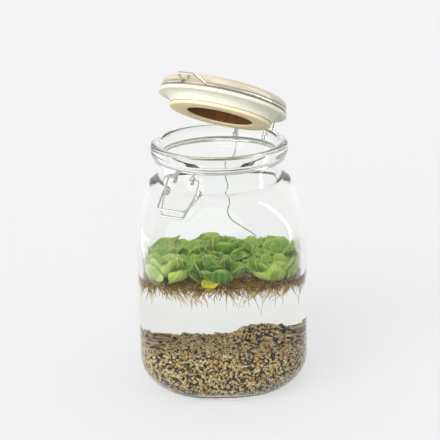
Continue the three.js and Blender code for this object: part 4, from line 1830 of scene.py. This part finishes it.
    def lever(self, steel: bpy.types.Material) -> None:
        """The latch lever with a wound coil in each leg.

        Args:
            steel: its finish.
        """
        reach, eye_z, _, _ = self.eyelet
        coil_out, coil_z, _ = self.coil
        leg = [
            (reach, self.lever_pin, eye_z),
            (reach, self.lever_side, eye_z),
            (coil_out + self.below_coil[0], self.lever_side, coil_z + self.below_coil[1]),
            self.lever_end,
        ]
        path = self.two_legged(leg, self.lever_bend)
        rods = Workbench.wire("lever_rod", [(path, False)], self.lever_gauge)
        windings = [(self.winding(turn), False) for turn in (-1, 1)]
        coils = Workbench.wire("lever_coils", windings, self.coil_gauge)
        lever = Workbench.joined("latch_lever_wire", [rods, coils])
        Workbench.finished(lever, "lever", "steel", [steel], ["latch_lever"], 180)

    def bail(self, steel: bpy.types.Material) -> None:
        """The bail that hooks over the lid's catch, with a pin through each coil.

        Args:
            steel: its finish.
        """
        coil_out, coil_z, _ = self.coil
        pin_in, pin_out = self.bail_pin
        leg = [
            (coil_out, self.lever_side + pin_in, coil_z),
            (coil_out, self.lever_side + pin_out, coil_z),
            self.bail_end,
        ]
        path = self.two_legged(leg, self.bail_bend)
        rod = Workbench.wire("latch_bail_wire", [(path, False)], self.bail_gauge)
        Workbench.finished(rod, "bail", "steel", [steel], ["latch_bail"], 180)

    def lid_half(self, side: float, turn: int) -> list[Vector]:
        """One half of the lid's wire, from its hinge pin up and round the groove to the catch.

        Args:
            side: place of its hinge loop along the hinge line.
            turn: -1 on the left and 1 on the right.

        Returns:
            Its corners, on the shut lid.
        """
        radius, level = self.lid_ring
        out, z = LATCH.hinge_out, LATCH.hinge_z
        pin_in, pin_out = self.lid_pin
        start = math.asin((side - LATCH.lid_side) / radius)
        end = turn * (math.pi - math.asin(self.nose_root / radius))
        ring = [
            LATCH.back(radius * math.cos(a), radius * math.sin(a), level) + LATCH.lid_axis
            for a in np.linspace(start, end, 50)
        ]
        return [
            LATCH.back(out, side + turn * pin_in, z),
            LATCH.back(out, side + turn * pin_out, z),
            LATCH.back(out, side + turn * pin_out, level - 1.5),
            LATCH.back(out - 2.6, side + turn * 1.6, level),
            *ring[2:],
        ]

    def lid_wire(self, steel: bpy.types.Material) -> None:
        """The wire in the lid's groove, from pin to pin by way of the catch.

        Args:
            steel: its finish.
        """
        radius, level = self.lid_ring
        nose_out, nose_up = self.nose
        left, right = LATCH.hinge_loops
        tip = [
            LATCH.front(radius + nose_out, turn * self.nose_tip, level + nose_up) + LATCH.lid_axis
            for turn in (-1, 1)
        ]
        corners = [*self.lid_half(left, -1), *tip, *reversed(self.lid_half(right, 1))]
        path = self.rounded(corners, self.lid_bend, 5)
        rod = Workbench.wire("lid_ring_wire", [(path, False)], self.lid_gauge)
        rod.data.transform(LATCH.opened())
        Workbench.finished(rod, "lid", "steel", [steel], ["lid_wire"], 180)

    def build(self, steel: bpy.types.Material) -> None:
        """Bends all four wires.

        Args:
            steel: their finish.
        """
        for bend in (self.neck, self.lever, self.bail, self.lid_wire):
            bend(steel)


@dataclass
class Lid:
    """The glazed lid with its plug and recess, and the seal round the plug."""

    bottom: float = 175.5
    lip: Pair = (38.0, 177.8)
    plug: float = 36.9
    recess: float = 24.2
    depth: float = 9.0
    seal: tuple[float, float, float] = (47.8, 184.1, 187.0)
    sleeve: Pair = (38.3, 178.2)
    hollow: float = 5.0
    wire_z: float = 189.0
    top: float = 197.1
    notch: Point = (19.5, 10.0, 12.0)
    notch_at: Pair = (46.4, 7.6)
    notch_bevel: float = 1.6
    steps: int = 128

    def profile(self) -> list[Pair]:
        """Profile of the ceramic.

        Returns:
            Radius and height of each point, from the recess over plug, flange and groove to the crown.
        """
        b, r, d, w, t = self.bottom, self.recess, self.depth, self.wire_z, self.top
        lip, lip_top = self.lip
        flange = self.seal[2] + 0.35
        up = b + d
        hollow = [(0, up), (r - 3, up), (r - 1.2, up - 0.4), (r - 0.3, up - 1.4), (r, up - 2.6)]
        face = [(r + 0.2, b + 0.9), (r + 0.5, b + 0.25), (r + 1.1, b), (lip - 1.5, b), (lip - 0.7, b + 0.15)]
        side = [(lip - 0.2, b + 0.6), (lip, b + 1.2), (lip, lip_top - 0.2), (lip - 0.3, lip_top)]
        p = self.plug
        ledge = [(p, lip_top + 0.2), (p, flange - 0.5), (p + 0.4, flange), (46, flange)]
        edge = [(46.7, flange + 0.08), (47, flange + 0.3), (46.9, w - 1.3), (46, w - 1.05), (45.1, w - 0.75)]
        groove = [(44.8, w), (45.1, w + 0.8), (46, w + 1.4), (46.5, w + 2), (46.6, w + 3.1)]
        shoulder = [(46.3, w + 4.4), (45.5, t - 2.6), (43.8, t - 1.4)]
        crown = [(41, t - 0.65), (34, t - 0.25), (20, t - 0.05), (0, t)]
        return [*hollow, *face, *side, *ledge, *edge, *groove, *shoulder, *crown]

    def centred(self, name: str, profile: Sequence[Pair]) -> bpy.types.Object:
        """Spins a piece about the shut lid's own axis.

        Args:
            name: the piece's name.
            profile: radius and height of each point in millimetres.

        Returns:
            The piece, on the shut lid.
        """
        piece = Workbench.spun(name, profile, self.steps)
        piece.data.transform(Matrix.Translation(LATCH.lid_axis))
        return piece

    def cut_notch(self, piece: bpy.types.Object) -> None:
        """Cuts the rounded notch in the rim behind the catch.

        Args:
            piece: the shut lid's ceramic.
        """
        Workbench.clear()
        bpy.ops.mesh.primitive_cube_add(size=1)
        notch = bpy.context.object
        out, up = self.notch_at
        spot = Matrix.Translation(LATCH.front(out, 0, self.wire_z + up))
        size = Matrix.Diagonal((*(side * MM for side in self.notch), 1))
        notch.data.transform(spot @ Matrix.Rotation(-LATCH.azimuth, 4, "Z") @ size)
        Workbench.with_modifier(notch, "BEVEL", width=self.notch_bevel * MM, segments=4)
        Workbench.with_modifier(piece, "BOOLEAN", object=notch, operation="DIFFERENCE", solver="EXACT")
        bpy.data.objects.remove(notch)

    def ceramic(self, glaze: bpy.types.Material, clay: bpy.types.Material, buff: bpy.types.Material) -> None:
        """Spins the lid, cuts the notch behind the catch and leaves the plug and its recess bare.

        Args:
            glaze: finish of the crown and edge.
            clay: finish of the recess.
            buff: finish of the plug round the recess.
        """
        piece = self.centred("lid_glazed_stoneware", self.profile())
        self.cut_notch(piece)
        for finish in (glaze, clay, buff):
            piece.data.materials.append(finish)
        axis = LATCH.lid_axis
        for face in piece.data.polygons:
            away = math.hypot(face.center.x - axis.x, face.center.y - axis.y) / MM
            height = face.center.z / MM
            in_recess = away < self.recess + 0.1 and height < self.bottom + self.depth + 1
            on_plug = away < self.lip[0] + 0.3 and height < self.seal[2]
            face.material_index = 1 if in_recess else 2 if on_plug else 0
        piece.data.transform(LATCH.opened())
        Workbench.finished(piece, "lid", "ceramic", [glaze, clay, buff], ["lid_ceramic"], 50)

    def gasket(self, silicone: bpy.types.Material) -> None:
        """The seal: a flat ring with softly rounded edges and a thin sleeve down the plug.

        Args:
            silicone: its finish.
        """
        inner = self.plug + 0.45
        outer, low, high = self.seal
        sleeve, foot = self.sleeve
        tube = [(inner, foot + 0.2), (inner + 0.2, foot), (sleeve - 0.25, foot), (sleeve, foot + 0.3)]
        # the lid shuts a little off the jar's axis, so the hollow keeps clear of the jar's lip on one side
        hollow = [
            (sleeve + self.hollow * k**2.4, foot + 0.3 + (low - foot - 0.3) * k**0.8)
            for k in np.linspace(0.1, 1, 10)
        ]
        edge = [(outer - 1.2, low), (outer - 0.45, low + 0.3), (outer, low + 1), (outer, high - 0.9)]
        top = [(outer - 0.3, high - 0.25), (outer - 0.9, high), (inner + 0.4, high), (inner, high - 0.4)]
        piece = self.centred("lid_silicone_seal", [*tube, *hollow, *edge, *top, tube[0]])
        piece.data.transform(LATCH.opened())
        Workbench.finished(piece, "lid", "gasket", [silicone], ["lid_gasket"], 60)

    def build(self, bodies: Sequence[bpy.types.Material], silicone: bpy.types.Material) -> None:
        """Builds the ceramic, in its glaze, recess clay and buff, and its seal."""
        self.ceramic(*bodies)
        self.gasket(silicone)


# -------------------------------------------------------------------------------- studio


@dataclass(frozen=True)
class Card:
    """A lit reflector card, seen only as a gleam on glass and metal: places and sizes in metres.

    brightness is its radiance, where white paper in full light has about 0.9.
    """

    name: str
    place: Point
    aim: Point
    size: Pair
    brightness: float

    def hang(self) -> None:
        """Hangs the card, turned to the point that it faces."""
        data = bpy.data.lights.new(self.name, "AREA")
        data.shape = "RECTANGLE"
        data.size, data.size_y = self.size
        data.energy = self.brightness * math.pi * self.size[0] * self.size[1]
        obj = bpy.data.objects.new(self.name, data)
        bpy.context.scene.collection.objects.link(obj)
        turn = (Vector(self.aim) - Vector(self.place)).to_track_quat("-Z", "Y").to_matrix().to_4x4()
        obj.matrix_world = Matrix.Translation(self.place) @ turn
        obj.visible_camera = obj.visible_diffuse = obj.visible_transmission = False


@dataclass
class Studio:
    """White sheet lit from below, a low soft key, three cards, and a camera on a long lens above the jar.

    The camera's focal length is given in pixels of the photograph's frame.
    """

    distance: float = 1200.0
    pitch: float = math.radians(17.7)
    roll: float = math.radians(-1.33)
    aim: Vector = field(default_factory=lambda: Vector((-0.65, 0, 122.7)))
    frame_px: float = 440.0
    focal_px: float = 1622.0
    sensor: float = 36.0
    sheet_size: Pair = (9.0, 5.0)
    sheet_bend: int = 12
    sheet_step: float = 0.16
    sheet_rise: float = 3.2
    key_energy: float = 4.0
    key_width: float = math.radians(70)
    key_from: Point = (-0.45, -1.0, 0.5)
    cards: tuple[Card, ...] = (
        Card("left_card", (-0.2, -0.08, 0.072), (0.0, -0.04, 0.1), (0.42, 0.07), 3.6),
        Card("right_card", (0.28, -0.07, 0.3), (0.0, 0.0, 0.3), (0.045, 0.5), 9.0),
        Card("left_strip", (-0.15, -0.28, 0.055), (0.0, 0.0, 0.08), (0.008, 0.08), 11.0),
    )
    room_levels: Pair = (0.8, 0.95)

    def camera(self) -> None:
        """Sets up the camera."""
        forward = Vector((0, math.cos(self.pitch), -math.sin(self.pitch)))
        right = Vector((1, 0, 0))
        up = right.cross(forward)
        level = right * math.cos(self.roll) + up * math.sin(self.roll)
        raised = up * math.cos(self.roll) - right * math.sin(self.roll)
        data = bpy.data.cameras.new("camera")
        data.lens = self.focal_px / self.frame_px * self.sensor
        data.sensor_width = self.sensor
        data.clip_start, data.clip_end = 0.05, 50
        obj = bpy.data.objects.new("camera", data)
        bpy.context.scene.collection.objects.link(obj)
        place = (self.aim - forward * self.distance) * MM
        turn = Matrix((level, raised, -forward)).transposed().to_4x4()
        obj.matrix_world = Matrix.Translation(place) @ turn
        bpy.context.scene.camera = obj

    def paper(self, finish: bpy.types.Material) -> None:
        """The floor, which curves up behind the jar without a line; its sizes are in metres.

        Args:
            finish: the sheet's material.
        """
        wide, deep = self.sheet_size
        Workbench.clear()
        bpy.ops.mesh.primitive_plane_add(size=1)
        sheet = bpy.context.object
        sheet.name = sheet.data.name = "studio_paper"
        bpy.ops.object.mode_set(mode="EDIT")
        bpy.ops.transform.resize(value=(wide, deep, 1))
        bpy.ops.mesh.select_all(action="DESELECT")
        bpy.ops.mesh.select_mode(type="EDGE")
        bpy.ops.object.mode_set(mode="OBJECT")
        for edge in sheet.data.edges:
            ends = [sheet.data.vertices[i].co for i in edge.vertices]
            edge.select = all(e.y > 0 for e in ends)
        bpy.ops.object.mode_set(mode="EDIT")
        for i in range(self.sheet_bend):
            a = math.radians(90 * (i + 0.5) / self.sheet_bend)
            step = (0, math.cos(a) * self.sheet_step, math.sin(a) * self.sheet_step)
            bpy.ops.mesh.extrude_region_move(TRANSFORM_OT_translate={"value": step})
        bpy.ops.mesh.extrude_region_move(TRANSFORM_OT_translate={"value": (0, 0, self.sheet_rise)})
        bpy.ops.object.mode_set(mode="OBJECT")
        bpy.ops.object.shade_smooth()
        sheet.data.materials.append(finish)

    def lights(self) -> None:
        """A very soft key from the left front, and cards that draw the gleams on the glass."""
        key = bpy.data.lights.new("key", "SUN")
        key.energy = self.key_energy
        key.angle = self.key_width
        lamp = bpy.data.objects.new("key", key)
        bpy.context.scene.collection.objects.link(lamp)
        lamp.matrix_world = Vector(self.key_from).to_track_quat("Z", "Y").to_matrix().to_4x4()
        lamp.visible_camera = lamp.visible_glossy = False
        for card in self.cards:
            card.hang()

    def room(self) -> None:
        """A bright, nearly even room, a little darker on the camera's side, and how far light is followed."""
        scene = bpy.context.scene
        scene.world = scene.world or bpy.data.worlds.new("room")
        scene.world.use_nodes = True
        tree = scene.world.node_tree
        towards = add_node(tree, "TexCoord")
        parts = add_node(tree, "SeparateXYZ", links={0: towards.outputs["Generated"]})
        near, far = self.room_levels
        level = add_node(
            tree,
            "MapRange",
            {"From Min": -0.9, "From Max": 0.0, "To Min": near, "To Max": far},
            {"Value": parts.outputs["Y"]},
            interpolation_type="SMOOTHSTEP",
        )
        background = tree.nodes["Background"]
        background.inputs["Color"].default_value = srgb("#FAFAFA")
        tree.links.new(level.outputs[0], background.inputs["Strength"])
        scene.view_settings.view_transform = "Standard"
        # light that is thrown back inside the glass counts as glossy, so this limit is high too
        scene.cycles.max_bounces = 32
        scene.cycles.transmission_bounces = 24
        scene.cycles.glossy_bounces = 20
        scene.cycles.diffuse_bounces = 4
        scene.cycles.caustics_refractive = True
        scene.cycles.caustics_reflective = False
        scene.cycles.use_denoising = True

    def build(self, paper: bpy.types.Material) -> None:
        """Sets up camera, paper, lights and room.

        Args:
            paper: the sheet's material.
        """
        self.camera()
        self.paper(paper)
        self.lights()
        self.room()


# -------------------------------------------------------------------------------- making


def main() -> None:
    """Loads the frame and builds every piece in order."""
    logging.basicConfig(level=logging.INFO, format="%(name)s %(message)s")
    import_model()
    Studio().build(StudioPaper().build())
    Jar().build(MouldedGlass().build())
    Water().build(StillWater().build())
    grits = {family: WetGrit(family).build() for family in StoneFamily}
    GravelBed().build(GritCoreInPaintedShade().build(), grits)
    FloatingPlants().build(VelvetLeaf().build(), RootFibre().build())
    Wirework().build(DrawnSteelWire().build())
    bodies = [GlazedStoneware().build(), BareClay().build(), BuffBiscuit().build()]
    Lid().build(bodies, SiliconeSeal().build())


if __name__ == "__main__":
    main()
